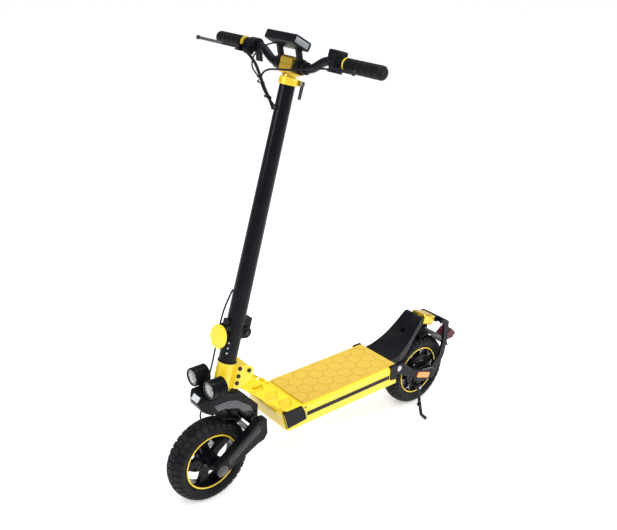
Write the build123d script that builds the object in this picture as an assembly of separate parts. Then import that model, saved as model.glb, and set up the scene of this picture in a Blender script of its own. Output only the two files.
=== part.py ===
from build123d import *
import os
from math import atan2, cos, degrees, hypot, pi, radians, sin, tan

# Electric kick scooter, in millimetres. +X is forward, +Y is the rider's left, +Z is up.
# The ground is z = 0 and the origin lies on it, under the middle of the scooter.

# ---- driving dimensions ----
WHEELBASE = 858.0
TAIL_OVERHANG = 190.5        # tip of the tail light behind the rear axle
TYRE_DIA = 255.0
TYRE_WIDTH = 68.0
TREAD_FLAT = 28.0            # width of the flat crown of the tyre
RIM_DIA = 172.0
RIM_WIDTH = 48.0
RAKE = 13.9                  # steering axis, degrees back from the vertical
TRAIL = 39.5
DECK_FRONT_BEHIND = 223.5    # front end of the deck behind the front axle
DECK_REAR_AHEAD = 183.5      # rear end of the deck ahead of the rear axle
DECK_WIDTH = 176.0
DECK_BOTTOM_Z = 174.0
DECK_TOP_Z = 240.0
DECK_WALL = 3.0
MAT_THICK = 4.0
MAT_WIDTH = 160.0
BAR_WIDTH = 644.0            # over the grips' ends
BAR_DIA = 22.2
GRIP_DIA = 34.0
GRIP_LENGTH = 120.0
GRIP_Z = 1242.0
HEAD_TUBE_LOW_Z = 343.0
HEAD_TUBE_TOP_Z = 424.0
HEAD_TUBE_DIA = 52.0
FOLD_BASE_TOP_Z = 532.0
STEM_DIA_LOW = 50.0
STEM_DIA_TOP = 41.0
STEM_TOP_Z = 1173.5
INNER_TUBE_DIA = 32.0
ARM_PIVOT_BEHIND = 138.0     # front arm pivot behind the front axle
ARM_PIVOT_ABOVE = 92.0
REAR_PIVOT_AHEAD = 146.0     # rear arm pivot ahead of the rear axle
REAR_PIVOT_ABOVE = 76.0

# ---- clearances ----
RUNNING = 0.05               # radial, shaft in its bore
GAP = 0.4                    # between faces of parts that move past each other
SIDE_GAP = 1.0               # sideways room beside a turning part

# ---- places that follow ----
TYRE_R = TYRE_DIA / 2
OVERALL_LENGTH = TYRE_R + WHEELBASE + TAIL_OVERHANG
FRONT_X = OVERALL_LENGTH / 2 - TYRE_R
REAR_X = FRONT_X - WHEELBASE
TAIL_X = REAR_X - TAIL_OVERHANG
DECK_FRONT_X = FRONT_X - DECK_FRONT_BEHIND
DECK_REAR_X = REAR_X + DECK_REAR_AHEAD
AXLE_Z = TYRE_R
STEER_X = FRONT_X + TRAIL
RAKE_C = cos(radians(RAKE))
RAKE_S = sin(radians(RAKE))
STEER = Plane(origin=(STEER_X, 0, 0), x_dir=(RAKE_C, 0, RAKE_S), z_dir=(-RAKE_S, 0, RAKE_C))


def along(z):
    """Distance up the steering axis, from the ground, of the height z."""
    return z / RAKE_C


def axis_x(z):
    """Place of the steering axis at the height z."""
    return STEER_X - z * tan(radians(RAKE))


def on_steer(shape):
    """Carry a shape drawn about the steering axis to its place."""
    return STEER.location * shape


def tube(dia, bore, length):
    """An upright tube that stands on the origin."""
    ring = Cylinder(dia / 2, length) - Cylinder(bore / 2, length + 2)
    return Pos(0, 0, length / 2) * ring


def rod_y(dia, y_low, y_high, x, z):
    """A round bar across the scooter."""
    bar = Rot(90, 0, 0) * Cylinder(dia / 2, y_high - y_low)
    return Pos(x, (y_low + y_high) / 2, z) * bar


def block(x_low, x_high, y_low, y_high, z_low, z_high):
    """A box by its lowest and highest corners."""
    size = Box(x_high - x_low, y_high - y_low, z_high - z_low)
    return Pos((x_low + x_high) / 2, (y_low + y_high) / 2, (z_low + z_high) / 2) * size


def side_plate(outline, y_low, y_high):
    """A flat outline in x and z, given thickness from y_low to y_high."""
    face = make_face(Polyline(*[(x, 0, z) for x, z in outline], close=True))
    solid = extrude(face, amount=y_high - y_low, dir=(0, 1, 0))
    return Pos(0, y_low, 0) * solid


def rounded_plate(outline, radius, y_low, y_high):
    """A side plate whose upright edges are rounded."""
    solid = side_plate(outline, y_low, y_high)
    return fillet(solid.edges().filter_by(Axis.Y), radius)


def both_sides(shape):
    """The shape and its mirror image on the other side."""
    return [shape, mirror(shape, Plane.XZ)]


def lathe_y(profile, x, z):
    """Turn a profile of (radius, y) points about a crosswise axis at x, z."""
    face = make_face(Polyline(*[(r, y, 0) for r, y in profile], close=True))
    return Pos(x, 0, z) * revolve(face, Axis.Y)


def cord(points, dia):
    """A round cord along its route: straight runs joined by tangent arcs."""
    spots = [Vector(*p) for p in points]
    radii = []
    for before, here, after in zip(spots, spots[1:], spots[2:]):
        turn = radians((here - before).get_angle(after - here))
        shorter = min((here - before).length, (after - here).length)
        radii.append(0.45 * shorter / tan(turn / 2))
    path = FilletPolyline(*points, radius=radii)
    start = path.position_at(0)
    face = Plane(origin=start, z_dir=path.tangent_at(0)) * Circle(dia / 2)
    solid = sweep(face, path=path)
    share = solid.volume / (pi * dia ** 2 / 4 * path.length)
    print("  cord radii", [round(r) for r in radii], "length", round(path.length), "share", round(share, 4))
    return solid


NODES = {}


def keep(name, shapes):
    """Hold a sub-part, one solid or a group of separate solids, under its name."""
    if isinstance(shapes, (list, tuple)):
        solids = [s for shape in shapes for s in shape.solids()]
        NODES[name] = Compound(children=solids)
    else:
        NODES[name] = shapes


# ---- wheels ----
AXLE_DIA = 12.0
TYRE_SIDE = TYRE_WIDTH / 2
RIM_INNER_R = RIM_DIA / 2 - 7
SPOKE_COUNT = 5
SPOKE_WIDTH = 24.0
SPOKE_THICK = 14.0
HUB_DIA = 46.0
HUB_HALF = 30.0
DISC_DIA = 124.0
DISC_THICK = 2.2
MOTOR_DIA = 118.0
MOTOR_HALF = 27.0


def tyre(x):
    """A balloon tyre with a flat tread band."""
    bead = RIM_DIA / 2
    half = [
        (TYRE_R, TREAD_FLAT / 2),
        (TYRE_R - 5, TYRE_SIDE - 8),
        (TYRE_R - 18, TYRE_SIDE),
        (bead + 12, TYRE_SIDE - 4),
        (bead, RIM_WIDTH / 2),
    ]
    other = [(r, -y) for r, y in reversed(half)]
    return lathe_y(half + other, x, AXLE_Z)


def rim_barrel(x):
    """The drop-centre rim that the tyre sits on."""
    outer = RIM_DIA / 2
    half = RIM_WIDTH / 2
    profile = [
        (outer, half),
        (outer, -half),
        (RIM_INNER_R + 3, -half),
        (RIM_INNER_R, -half + 8),
        (RIM_INNER_R, half - 8),
        (RIM_INNER_R + 3, half),
    ]
    return lathe_y(profile, x, AXLE_Z)


def spokes(x, count, width, thick, root_r):
    """Cast arms from the hub out to the rim."""
    arms = []
    reach = RIM_INNER_R + 2
    for turn in range(count):
        arm = Pos((root_r + reach) / 2, 0, 0) * Box(reach - root_r, thick, width)
        arms.append(Pos(x, 0, AXLE_Z) * (Rot(0, 360 * turn / count, 0) * arm))
    return arms


def front_rim():
    """Cast wheel with broad arms and a hub that turns on the axle."""
    wheel = rim_barrel(FRONT_X) + rod_y(HUB_DIA, -HUB_HALF, HUB_HALF, FRONT_X, AXLE_Z)
    for arm in spokes(FRONT_X, SPOKE_COUNT, SPOKE_WIDTH, SPOKE_THICK, HUB_DIA / 2 - 4):
        wheel = wheel + arm
    bore = rod_y(AXLE_DIA + 2 * RUNNING, -HUB_HALF - 1, HUB_HALF + 1, FRONT_X, AXLE_Z)
    return wheel - bore


def brake_disc():
    """Rotor bolted to the right end of the front hub, with open windows."""
    low = -HUB_HALF - DISC_THICK
    disc = rod_y(DISC_DIA, low, -HUB_HALF, FRONT_X, AXLE_Z)
    disc = disc - rod_y(AXLE_DIA + 10, low - 1, -HUB_HALF + 1, FRONT_X, AXLE_Z)
    for turn in range(6):
        window = Pos(35, 0, 0) * (Rot(90, 0, 0) * Cylinder(9, 10))
        disc = disc - Pos(FRONT_X, -HUB_HALF, AXLE_Z) * (Rot(0, 60 * turn, 0) * window)
    return disc


def rear_motor_wheel():
    """Hub motor whose drum, forked arms and rim are one casting."""
    wheel = rim_barrel(REAR_X) + rod_y(MOTOR_DIA, -MOTOR_HALF, MOTOR_HALF, REAR_X, AXLE_Z)
    for arm in spokes(REAR_X, 9, 14.0, 26.0, MOTOR_DIA / 2 - 4):
        wheel = wheel + arm
    bore = rod_y(AXLE_DIA + 2 * RUNNING, -MOTOR_HALF - 1, MOTOR_HALF + 1, REAR_X, AXLE_Z)
    return wheel - bore


keep("front_tyre", tyre(FRONT_X))
keep("front_rim", front_rim())
keep("front_brake_disc", brake_disc())
keep("rear_tyre", tyre(REAR_X))
keep("rear_motor_wheel", rear_motor_wheel())

# ---- front suspension arm ----
PIVOT_X = FRONT_X - ARM_PIVOT_BEHIND
PIVOT_Z = AXLE_Z + ARM_PIVOT_ABOVE
PIVOT_DIA = 16.0
NECK_HALF = 28.0             # half width of the fork's neck behind the wheel
ARM_IN_Y = TYRE_SIDE + 10
ARM_OUT_Y = ARM_IN_Y + 12
COVER_OUT_Y = ARM_OUT_Y + 19
AXLE_BOSS_DIA = 44.0


def arm_outline(drop):
    """The arm seen from the side, drawn in by drop all round."""
    return [
        (FRONT_X + 17 - drop, AXLE_Z - 8),
        (FRONT_X + 4, AXLE_Z - 27 + drop),
        (FRONT_X - 26, AXLE_Z - 14 + drop),
        (PIVOT_X + 14, AXLE_Z + 34 + drop),
        (PIVOT_X - 10, AXLE_Z + 40 + drop),
        (PIVOT_X - 22 + drop, AXLE_Z + 60),
        (PIVOT_X - 18 + drop, PIVOT_Z + 18 - drop),
        (PIVOT_X + 2, PIVOT_Z + 20 - drop),
        (FRONT_X - 6, AXLE_Z + 22 - drop),
        (FRONT_X + 15 - drop, AXLE_Z + 14 - drop),
    ]


def front_arm():
    """Left leading arm with its moulded cover, an axle eye and a pivot eye."""
    arm = rounded_plate(arm_outline(3), 4, ARM_IN_Y, ARM_OUT_Y)
    arm = arm - rod_y(AXLE_DIA, 0, ARM_OUT_Y + 1, FRONT_X, AXLE_Z)
    return arm - rod_y(PIVOT_DIA, 0, ARM_OUT_Y + 1, PIVOT_X, PIVOT_Z)


def front_arm_cover():
    """Left cover over the arm: a shell with a chamfered outer rim."""
    cover = rounded_plate(arm_outline(0), 6, ARM_OUT_Y - 8, COVER_OUT_Y)
    rim = cover.faces().sort_by(Axis.Y)[-1].edges()
    cover = chamfer(rim, 5)
    cover = cover - rounded_plate(arm_outline(2.6), 4, ARM_OUT_Y - 9, ARM_OUT_Y + 0.4)
    inside = rounded_plate(arm_outline(7), 3, ARM_OUT_Y - 9, COVER_OUT_Y - 3)
    return cover - inside


def front_axle():
    """Axle through both arms, with a nut at each end and spacers against the hub."""
    end = ARM_OUT_Y + 9
    axle = rod_y(AXLE_DIA, -end, end, FRONT_X, AXLE_Z)
    hub_end = HUB_HALF + DISC_THICK
    for side in (1, -1):
        near = hub_end + SIDE_GAP
        spacer = rod_y(20, *sorted((side * near, side * ARM_IN_Y)), FRONT_X, AXLE_Z)
        nut = rod_y(16, *sorted((side * ARM_OUT_Y, side * (ARM_OUT_Y + 8))), FRONT_X, AXLE_Z)
        axle = axle + spacer + nut
    return axle


def brake_caliper():
    """Caliper that straddles the rotor and is bolted to the right arm."""
    middle = -HUB_HALF - DISC_THICK / 2
    reach = DISC_DIA / 2 - 2
    body = block(-17, 17, -ARM_IN_Y, middle + 13, reach - 16, reach + 12)
    body = body - block(-18, 18, middle - 2.4, middle + 2.4, 0, reach + 3.5)
    body = fillet(body.edges().filter_by(Axis.Y), 4)
    return Pos(FRONT_X, 0, AXLE_Z) * (Rot(0, -62, 0) * body)


def front_mudguard():
    """Short arched guard behind and above the front wheel, on two stays to the arms."""
    inner = TYRE_R + 11
    outer = inner + 2.5
    ring = lathe_y([(inner, -36), (outer, -36), (outer, 36), (inner, 36)], FRONT_X, AXLE_Z)
    wedge = [(0, 0)]
    for angle in (100, 122, 144, 166):
        wedge.append((220 * cos(radians(angle)), 220 * sin(radians(angle))))
    sector = Pos(FRONT_X, 0, AXLE_Z) * side_plate(wedge, -40, 40)
    guard = ring & sector
    for side in (1, -1):
        angle = radians(156)
        foot_x = FRONT_X + inner * cos(angle)
        foot_z = AXLE_Z + inner * sin(angle)
        low, high = sorted((side * 34, side * ARM_IN_Y))
        guard = guard + block(foot_x - 8, foot_x + 4, low, high, foot_z - 8, foot_z + 8)
    return guard


keep("front_arms", both_sides(front_arm()))
keep("front_arm_covers", both_sides(front_arm_cover()))
keep("front_axle", front_axle())
keep("brake_caliper", brake_caliper())
keep("front_mudguard", front_mudguard())

# ---- fork, its cover and the lights ----
COVER_HALF = ARM_IN_Y - 2
STEERER_DIA = 28.6
STEERER_BELOW = 42.0         # steerer end below the top of the folding base
FOLD_BASE_DIA = 50.0
NOSE_X = FRONT_X + 44
NOSE_TOP_Z = HEAD_TUBE_LOW_Z + 7
NOSE_ROUND = 34.0
LIGHT_DIA = 54.0
LIGHT_Y = 42.0
LIGHT_Z = NOSE_TOP_Z + LIGHT_DIA / 2 + 4
LIGHT_BACK_X = FRONT_X - 22
LIGHT_FRONT_X = FRONT_X + 21


def crown_seat(forward):
    """A point of the crown's top, which is square to the steering axis."""
    low = along(HEAD_TUBE_LOW_Z) - SIDE_GAP
    spot = STEER.from_local_coords(Vector(forward, 0, low))
    return (spot.X, spot.Z)


def neck_outline(grow):
    """The fork's neck from the crown back and down to the arm pivot."""
    front, back = crown_seat(30 + grow), crown_seat(-28 - grow)
    return [
        front,
        back,
        (PIVOT_X + 22 - grow, HEAD_TUBE_LOW_Z - 42 + grow),
        (PIVOT_X - 16 - grow, PIVOT_Z + 44),
        (PIVOT_X - 17 - grow, PIVOT_Z - 6),
        (PIVOT_X - 4, PIVOT_Z - 18),
        (PIVOT_X + 14 + grow, PIVOT_Z - 12),
        (PIVOT_X + 18 + grow, PIVOT_Z + 20 - grow),
        (PIVOT_X + 44 + grow, PIVOT_Z + 56 - grow),
        (PIVOT_X + 92, PIVOT_Z + 80 - grow),
        (front[0], PIVOT_Z + 80 - grow),
    ]


def fork_neck():
    """Forged neck with its steerer tube and the eye of the arm pivot."""
    neck = rounded_plate(neck_outline(0), 5, -NECK_HALF, NECK_HALF)
    neck = neck - rod_y(PIVOT_DIA + 2 * RUNNING, -NECK_HALF - 1, NECK_HALF + 1, PIVOT_X, PIVOT_Z)
    low = along(HEAD_TUBE_LOW_Z) - 20
    high = along(FOLD_BASE_TOP_Z) - STEERER_BELOW
    steerer = Pos(0, 0, low) * tube(STEERER_DIA, STEERER_DIA - 6, high - low)
    return neck + on_steer(steerer)


def fork_pivot_pin():
    """Shaft through the neck that both arms are clamped on."""
    shaft = rod_y(PIVOT_DIA, -ARM_OUT_Y, ARM_OUT_Y, PIVOT_X, PIVOT_Z)
    for side in (1, -1):
        low, high = sorted((side * (NECK_HALF + SIDE_GAP), side * ARM_IN_Y))
        shaft = shaft + rod_y(PIVOT_DIA + 8, low, high, PIVOT_X, PIVOT_Z)
    return shaft


def cover_outline():
    """The fork cover from the side: a nose over the wheel and skirts down to the arms."""
    front, back = crown_seat(34), crown_seat(-34)
    return [
        (NOSE_X, NOSE_TOP_Z - 20),
        (NOSE_X - 16, NOSE_TOP_Z),
        (front[0] + 2, NOSE_TOP_Z),
        (back[0] - 14, HEAD_TUBE_LOW_Z - 13),
        (PIVOT_X + 10, HEAD_TUBE_LOW_Z - 52),
        (PIVOT_X - 10, PIVOT_Z + 48),
        (PIVOT_X - 8, PIVOT_Z + 24),
        (PIVOT_X + 34, PIVOT_Z + 24),
        (PIVOT_X + 66, PIVOT_Z + 60),
        (FRONT_X - 28, PIVOT_Z + 76),
        (FRONT_X + 8, PIVOT_Z + 74),
        (NOSE_X - 8, PIVOT_Z + 92),
    ]


def fork_cover():
    """Moulded cover over the crown and neck, open round the head tube."""
    cover = side_plate(cover_outline(), -COVER_HALF, COVER_HALF)
    cover = chamfer(cover.faces().sort_by(Axis.Y)[-1].edges(), 5)
    cover = chamfer(cover.faces().sort_by(Axis.Y)[0].edges(), 5)
    plan = block(PIVOT_X - 120, NOSE_X, -COVER_HALF, COVER_HALF, 0, HEAD_TUBE_TOP_Z)
    cover = cover & fillet(plan.edges().filter_by(Axis.Z).sort_by(Axis.X)[-2:], NOSE_ROUND)
    neck = side_plate(neck_outline(GAP), -NECK_HALF - GAP, NECK_HALF + GAP)
    seat = Pos(0, 0, along(HEAD_TUBE_LOW_Z) - 12) * Cylinder(HEAD_TUBE_DIA / 2 + 6, 60)
    cover = cover - neck - on_steer(Pos(0, 0, 30) * seat)
    return cover.solids().sort_by(SortBy.VOLUME)[-1]


def headlight():
    """Left finned lamp body on its foot."""
    body = Rot(0, 90, 0) * Cylinder(LIGHT_DIA / 2, LIGHT_FRONT_X - LIGHT_BACK_X)
    body = Pos((LIGHT_BACK_X + LIGHT_FRONT_X) / 2, LIGHT_Y, LIGHT_Z) * body
    recess = Rot(0, 90, 0) * Cylinder(LIGHT_DIA / 2 - 6, 10)
    body = body - Pos(LIGHT_FRONT_X, LIGHT_Y, LIGHT_Z) * recess
    for step in range(4):
        x = LIGHT_BACK_X + 5 + 8 * step
        ring = Rot(0, 90, 0) * (Cylinder(LIGHT_DIA, 3) - Cylinder(LIGHT_DIA / 2 - 4, 4))
        body = body - Pos(x, LIGHT_Y, LIGHT_Z) * ring
    foot_x = (LIGHT_BACK_X + LIGHT_FRONT_X) / 2
    foot = block(foot_x - 7, foot_x + 7, LIGHT_Y - 14, LIGHT_Y - 8, NOSE_TOP_Z, LIGHT_Z - 15)
    return body + foot


def headlight_lens():
    """Left clear lens in the mouth of the lamp body."""
    lens = Rot(0, 90, 0) * Cylinder(LIGHT_DIA / 2 - 6, 4)
    return Pos(LIGHT_FRONT_X - 3, LIGHT_Y, LIGHT_Z) * lens


def front_reflector():
    """Clear reflector on the sloping front of the nose."""
    slope = degrees(atan2(16, 20))
    plate = fillet(Box(3, 30, 17).edges().filter_by(Axis.X), 2)
    return Pos(NOSE_X - 8 + 1.2, 0, NOSE_TOP_Z - 10 + 0.95) * (Rot(0, -slope, 0) * plate)


keep("fork_neck", fork_neck())
keep("fork_pivot_pin", fork_pivot_pin())
keep("fork_cover", fork_cover())
keep("headlight_housings", both_sides(headlight()))
keep("headlight_lenses", both_sides(headlight_lens()))
keep("front_reflector", front_reflector())

# ---- head tube and folding base ----
FOLD_PIN_BEHIND = 29.4       # fold pin behind the steering axis
FOLD_PIN_BELOW = 21.5        # fold pin below the split between base and stem
FOLD_PIN_DIA = 8.0
TONGUE_HALF = 13.0
EAR_THICK = 8.0
LOW_END = along(HEAD_TUBE_LOW_Z)
TOP_END = along(HEAD_TUBE_TOP_Z)
SPLIT = along(FOLD_BASE_TOP_Z)
PIN_UP = SPLIT - FOLD_PIN_BELOW
BUSH_DEPTH = 14.0
GUSSET_HALF = HEAD_TUBE_DIA / 2 + 1
LATCH_PIN_AHEAD = 33.0
LATCH_PIN_UP = SPLIT - 9
LATCH_DIA = 5.0
LATCH_HALF = 8.0
PAD_DIA = 66.0
PAD_THICK = 10.0


def steer_rod(dia, y_low, y_high, forward, up):
    """A crosswise bar placed by its distances from the steering axis."""
    bar = Rot(90, 0, 0) * Cylinder(dia / 2, y_high - y_low)
    return Pos(forward, (y_low + y_high) / 2, up) * bar


def head_tube():
    """Head tube with a bush for the steerer at each end and the gusset for the neck plates."""
    middle = (LOW_END + TOP_END) / 2
    outer = Pos(0, 0, middle) * Cylinder(HEAD_TUBE_DIA / 2, TOP_END - LOW_END)
    gusset = Pos(-40, 0, middle + 2) * Box(62, 2 * GUSSET_HALF, TOP_END - LOW_END - 16)
    gusset = chamfer(gusset.edges().filter_by(Axis.Y).sort_by(Axis.X)[:2], 14)
    bore = Pos(0, 0, middle) * Cylinder(STEERER_DIA / 2 + RUNNING, TOP_END - LOW_END + 2)
    room = Pos(0, 0, middle) * Cylinder(STEERER_DIA / 2 + 3, TOP_END - LOW_END - 2 * BUSH_DEPTH)
    return on_steer(outer + gusset - bore - room)


def fold_base():
    """Clamp base on the steerer, with rear ears for the fold pin and front ears for the latch."""
    low = TOP_END + SIDE_GAP
    base = Pos(0, 0, (low + SPLIT) / 2) * Cylinder(FOLD_BASE_DIA / 2, SPLIT - low)
    ear_out = TONGUE_HALF + GAP + EAR_THICK
    ears = steer_rod(32, -ear_out, ear_out, -FOLD_PIN_BEHIND, PIN_UP)
    web = Pos(-18, 0, PIN_UP - 4) * Box(22, 2 * ear_out, 24)
    latch_ears = Pos(30, 0, LATCH_PIN_UP) * Box(18, 2 * (LATCH_HALF + 5), 14)
    base = base + ears + web + latch_ears
    slot_half = TONGUE_HALF + GAP
    slot = steer_rod(35, -slot_half, slot_half, -FOLD_PIN_BEHIND, PIN_UP)
    open_top = Pos(-FOLD_PIN_BEHIND - 7, 0, PIN_UP + 15) * Box(49, 2 * slot_half, 30)
    base = base - slot - open_top
    lid = Pos(0, 0, SPLIT + 30) * Box(140, 90, 60)
    base = base - lid
    latch_half = LATCH_HALF + GAP
    base = base - Pos(36, 0, LATCH_PIN_UP) * Box(20, 2 * latch_half, 40)
    base = base - steer_rod(FOLD_PIN_DIA, -30, 30, -FOLD_PIN_BEHIND, PIN_UP)
    base = base - steer_rod(LATCH_DIA, -20, 20, LATCH_PIN_AHEAD, LATCH_PIN_UP)
    steerer_end = SPLIT - STEERER_BELOW
    steerer_room = Pos(0, 0, (LOW_END + steerer_end) / 2) * Cylinder(STEERER_DIA / 2, steerer_end - LOW_END)
    return on_steer(base - steerer_room)


def fold_pins():
    """Fold pin with its heads, and the latch pin."""
    ear_out = TONGUE_HALF + GAP + EAR_THICK
    pin = steer_rod(FOLD_PIN_DIA, -ear_out, ear_out, -FOLD_PIN_BEHIND, PIN_UP)
    for side in (1, -1):
        low, high = sorted((side * ear_out, side * (ear_out + 4)))
        pin = pin + steer_rod(15, low, high, -FOLD_PIN_BEHIND, PIN_UP)
    latch_out = LATCH_HALF + 5
    small = steer_rod(LATCH_DIA, -latch_out, latch_out, LATCH_PIN_AHEAD, LATCH_PIN_UP)
    return [on_steer(pin), on_steer(small)]


LIP_AHEAD = 31.0
LIP_HEIGHT = 8.0
JAW_THICK = 6.0


def latch_lever():
    """Lever that hooks over the stem's front lip and carries the thumb pad below."""
    lip_top = SPLIT + GAP + LIP_HEIGHT
    boss = steer_rod(12, -LATCH_HALF, LATCH_HALF, LATCH_PIN_AHEAD, LATCH_PIN_UP)
    tall = lip_top + GAP + JAW_THICK
    upright = Pos(LIP_AHEAD + 3.2, 0, (LATCH_PIN_UP + tall) / 2)
    upright = upright * Box(5, 2 * LATCH_HALF, tall - LATCH_PIN_UP)
    jaw = Pos(LIP_AHEAD + 0.9, 0, tall - JAW_THICK / 2) * Box(7.6, 2 * LATCH_HALF, JAW_THICK)
    arm_low = LATCH_PIN_UP - 34
    arm = Pos(PAD_AHEAD - 5, 0, (arm_low + LATCH_PIN_UP) / 2)
    arm = arm * Box(10, 2 * LATCH_HALF, LATCH_PIN_UP - arm_low)
    lever = boss + upright + jaw + arm
    return on_steer(lever - steer_rod(LATCH_DIA + 2 * RUNNING, -20, 20, LATCH_PIN_AHEAD, LATCH_PIN_UP))


PAD_AHEAD = 43.0
PAD_BELOW = 27.0


def latch_pad():
    """Round thumb pad on the front of the latch lever."""
    pad = Rot(0, 90, 0) * Cylinder(PAD_DIA / 2, PAD_THICK)
    pad = fillet(pad.edges(), 3)
    return on_steer(Pos(PAD_AHEAD + PAD_THICK / 2, 0, LATCH_PIN_UP - PAD_BELOW) * pad)


keep("head_tube", head_tube())
keep("fold_base", fold_base())
keep("fold_pins", fold_pins())
keep("latch_lever", latch_lever())
keep("latch_pad", latch_pad())

# ---- stem and its height clamp ----
FOOT_HEIGHT = 26.0
STEM_TOP = along(STEM_TOP_Z)
COLLAR_DIA = 48.0
COLLAR_BELOW = 10.0          # how far the collar reaches down the stem
COLLAR_ABOVE = 9.0
BAR_UP = along(GRIP_Z) - 31  # bar's clamped middle, up the steering axis
GRIP_UP = BAR_UP + 29
GRIP_AHEAD = 4.0
CLAMP_DIA = 31.8
TUBE_LENGTH = 330.0
LEVER_LENGTH = 40.0


def stem_foot():
    """Foot of the stem: a flange over the base, a tongue on the fold pin and a front lip."""
    low = SPLIT + GAP
    foot = Pos(0, 0, low + FOOT_HEIGHT / 2) * Cylinder(STEM_DIA_LOW / 2, FOOT_HEIGHT)
    spigot = Pos(0, 0, low + FOOT_HEIGHT + 12) * Cylinder(STEM_DIA_LOW / 2 - 5, 24)
    tongue = steer_rod(32, -TONGUE_HALF, TONGUE_HALF, -FOLD_PIN_BEHIND, PIN_UP)
    riser = Pos(-FOLD_PIN_BEHIND - 2, 0, PIN_UP + 20) * Box(28, 2 * TONGUE_HALF, 40)
    riser = riser - Pos(0, 0, PIN_UP + 15) * Cylinder(FOLD_BASE_DIA / 2 - 8, 2 * 15)
    lip = Pos(LIP_AHEAD / 2 + 4, 0, low + LIP_HEIGHT / 2)
    lip = lip * Box(LIP_AHEAD - 8, 2 * LATCH_HALF, LIP_HEIGHT)
    foot = foot + spigot + tongue + riser + lip
    return on_steer(foot - steer_rod(FOLD_PIN_DIA + 2 * RUNNING, -30, 30, -FOLD_PIN_BEHIND, PIN_UP))


def stem_tube():
    """Tapered stem, bored so that the inner tube slides in its upper end."""
    low = SPLIT + GAP + FOOT_HEIGHT
    length = STEM_TOP - low
    outer = Cone(STEM_DIA_LOW / 2, STEM_DIA_TOP / 2, length)
    room = Cylinder(INNER_TUBE_DIA / 2 + 2 * GAP, length - 60)
    throat = Cylinder(INNER_TUBE_DIA / 2 + RUNNING, length + 2)
    socket = Cylinder(STEM_DIA_LOW / 2 - 5, 24)
    solid = Pos(0, 0, low + length / 2) * outer
    solid = solid - Pos(0, 0, low + (length - 60) / 2) * room
    solid = solid - Pos(0, 0, low + length / 2) * throat
    return on_steer(solid - Pos(0, 0, low + 12) * socket)


def height_collar():
    """Split collar that clamps the inner tube, with two ears behind for the skewer."""
    low = STEM_TOP - COLLAR_BELOW
    tall = COLLAR_BELOW + COLLAR_ABOVE
    collar = Pos(0, 0, low + tall / 2) * Cylinder(COLLAR_DIA / 2, tall)
    ears = Pos(-27, 0, low + tall / 2) * Box(16, 26, tall - 4)
    collar = collar + ears
    stem_room = Pos(0, 0, low + COLLAR_BELOW / 2) * Cylinder(STEM_DIA_TOP / 2 + 0.3, COLLAR_BELOW)
    throat = Pos(0, 0, low + tall / 2) * Cylinder(INNER_TUBE_DIA / 2 + RUNNING, tall + 2)
    split = Pos(-30, 0, low + tall / 2) * Box(40, 3, tall + 2)
    collar = collar - stem_room - throat - split
    return on_steer(collar - steer_rod(6, -20, 20, -29, low + tall / 2))


SKEWER_UP = STEM_TOP + (COLLAR_ABOVE - COLLAR_BELOW) / 2
SKEWER_BEHIND = 29.0
CAM_Y = 20.0


def skewer():
    """Clamp skewer through the collar's ears, with its nut and the cam's clevis."""
    bar = steer_rod(6, -13, 13, -SKEWER_BEHIND, SKEWER_UP)
    nut = steer_rod(13, -18, -13, -SKEWER_BEHIND, SKEWER_UP)
    head = Pos(-SKEWER_BEHIND, 15.5, SKEWER_UP) * Box(14, 5, 12)
    ears = Pos(-SKEWER_BEHIND, 20.5, SKEWER_UP) * Box(14, 9, 12)
    ears = ears - Pos(-SKEWER_BEHIND, 23.5, SKEWER_UP) * Box(8.6, 11, 14)
    axle = Pos(-SKEWER_BEHIND, CAM_Y + 2, SKEWER_UP) * (Rot(0, 90, 0) * Cylinder(1.5, 14))
    return on_steer(bar + nut + head + ears + axle)


def quick_release_lever():
    """Cam lever that lies down the side of the stem when it is closed."""
    turn = Rot(0, 90, 0) * Cylinder(3.6, 7.8)
    blade = Pos(0, 1.2, -LEVER_LENGTH / 2) * Box(7.8, 4.4, LEVER_LENGTH)
    blade = fillet(blade.edges().filter_by(Axis.Y), 3)
    lever = turn + blade - Rot(0, 90, 0) * Cylinder(1.5 + RUNNING, 20)
    return on_steer(Pos(-SKEWER_BEHIND, CAM_Y + 2, SKEWER_UP) * lever)


keep("stem_foot", stem_foot())
keep("stem_tube", stem_tube())
keep("height_collar", height_collar())
keep("skewer", skewer())
keep("quick_release_lever", quick_release_lever())

# ---- handlebar ----
CLAMP_HALF = 22.0
BULGE_HALF = 60.0
BEND_IN_Y = 76.0
BEND_OUT_Y = 126.0
RING_WIDTH = 5.0
GRIP_OUT_Y = BAR_WIDTH / 2
GRIP_IN_Y = GRIP_OUT_Y - GRIP_LENGTH
PERCH_Y = GRIP_IN_Y - RING_WIDTH - 14
PERCH_HALF = 8.0
SWITCH_Y = PERCH_Y - PERCH_HALF - 16


def inner_tube():
    """Height-adjusting tube, closed at the top under the bar clamp."""
    low = BAR_UP - CLAMP_DIA / 2 - 8 - TUBE_LENGTH
    return on_steer(Pos(0, 0, low) * tube(INNER_TUBE_DIA, INNER_TUBE_DIA - 4, TUBE_LENGTH))


def bar_clamp():
    """Two-piece clamp block that holds the bar on top of the inner tube."""
    low = BAR_UP - CLAMP_DIA / 2 - 8
    tall = CLAMP_DIA + 14
    body = Pos(0, 0, low + tall / 2) * Box(44, 2 * CLAMP_HALF, tall)
    body = fillet(body.edges().filter_by(Axis.Y), 9)
    foot = Pos(0, 0, low - 3) * tube(INNER_TUBE_DIA + 6, INNER_TUBE_DIA, 6)
    foot = Pos(0, 0, -3) * foot
    body = body - steer_rod(CLAMP_DIA, -30, 30, 0, BAR_UP)
    groove = Pos(0, 0, BAR_UP + 1) * (Box(60, 60, 2) - Box(CLAMP_DIA + 3, 61, 3))
    return on_steer(body - groove + foot)


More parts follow.
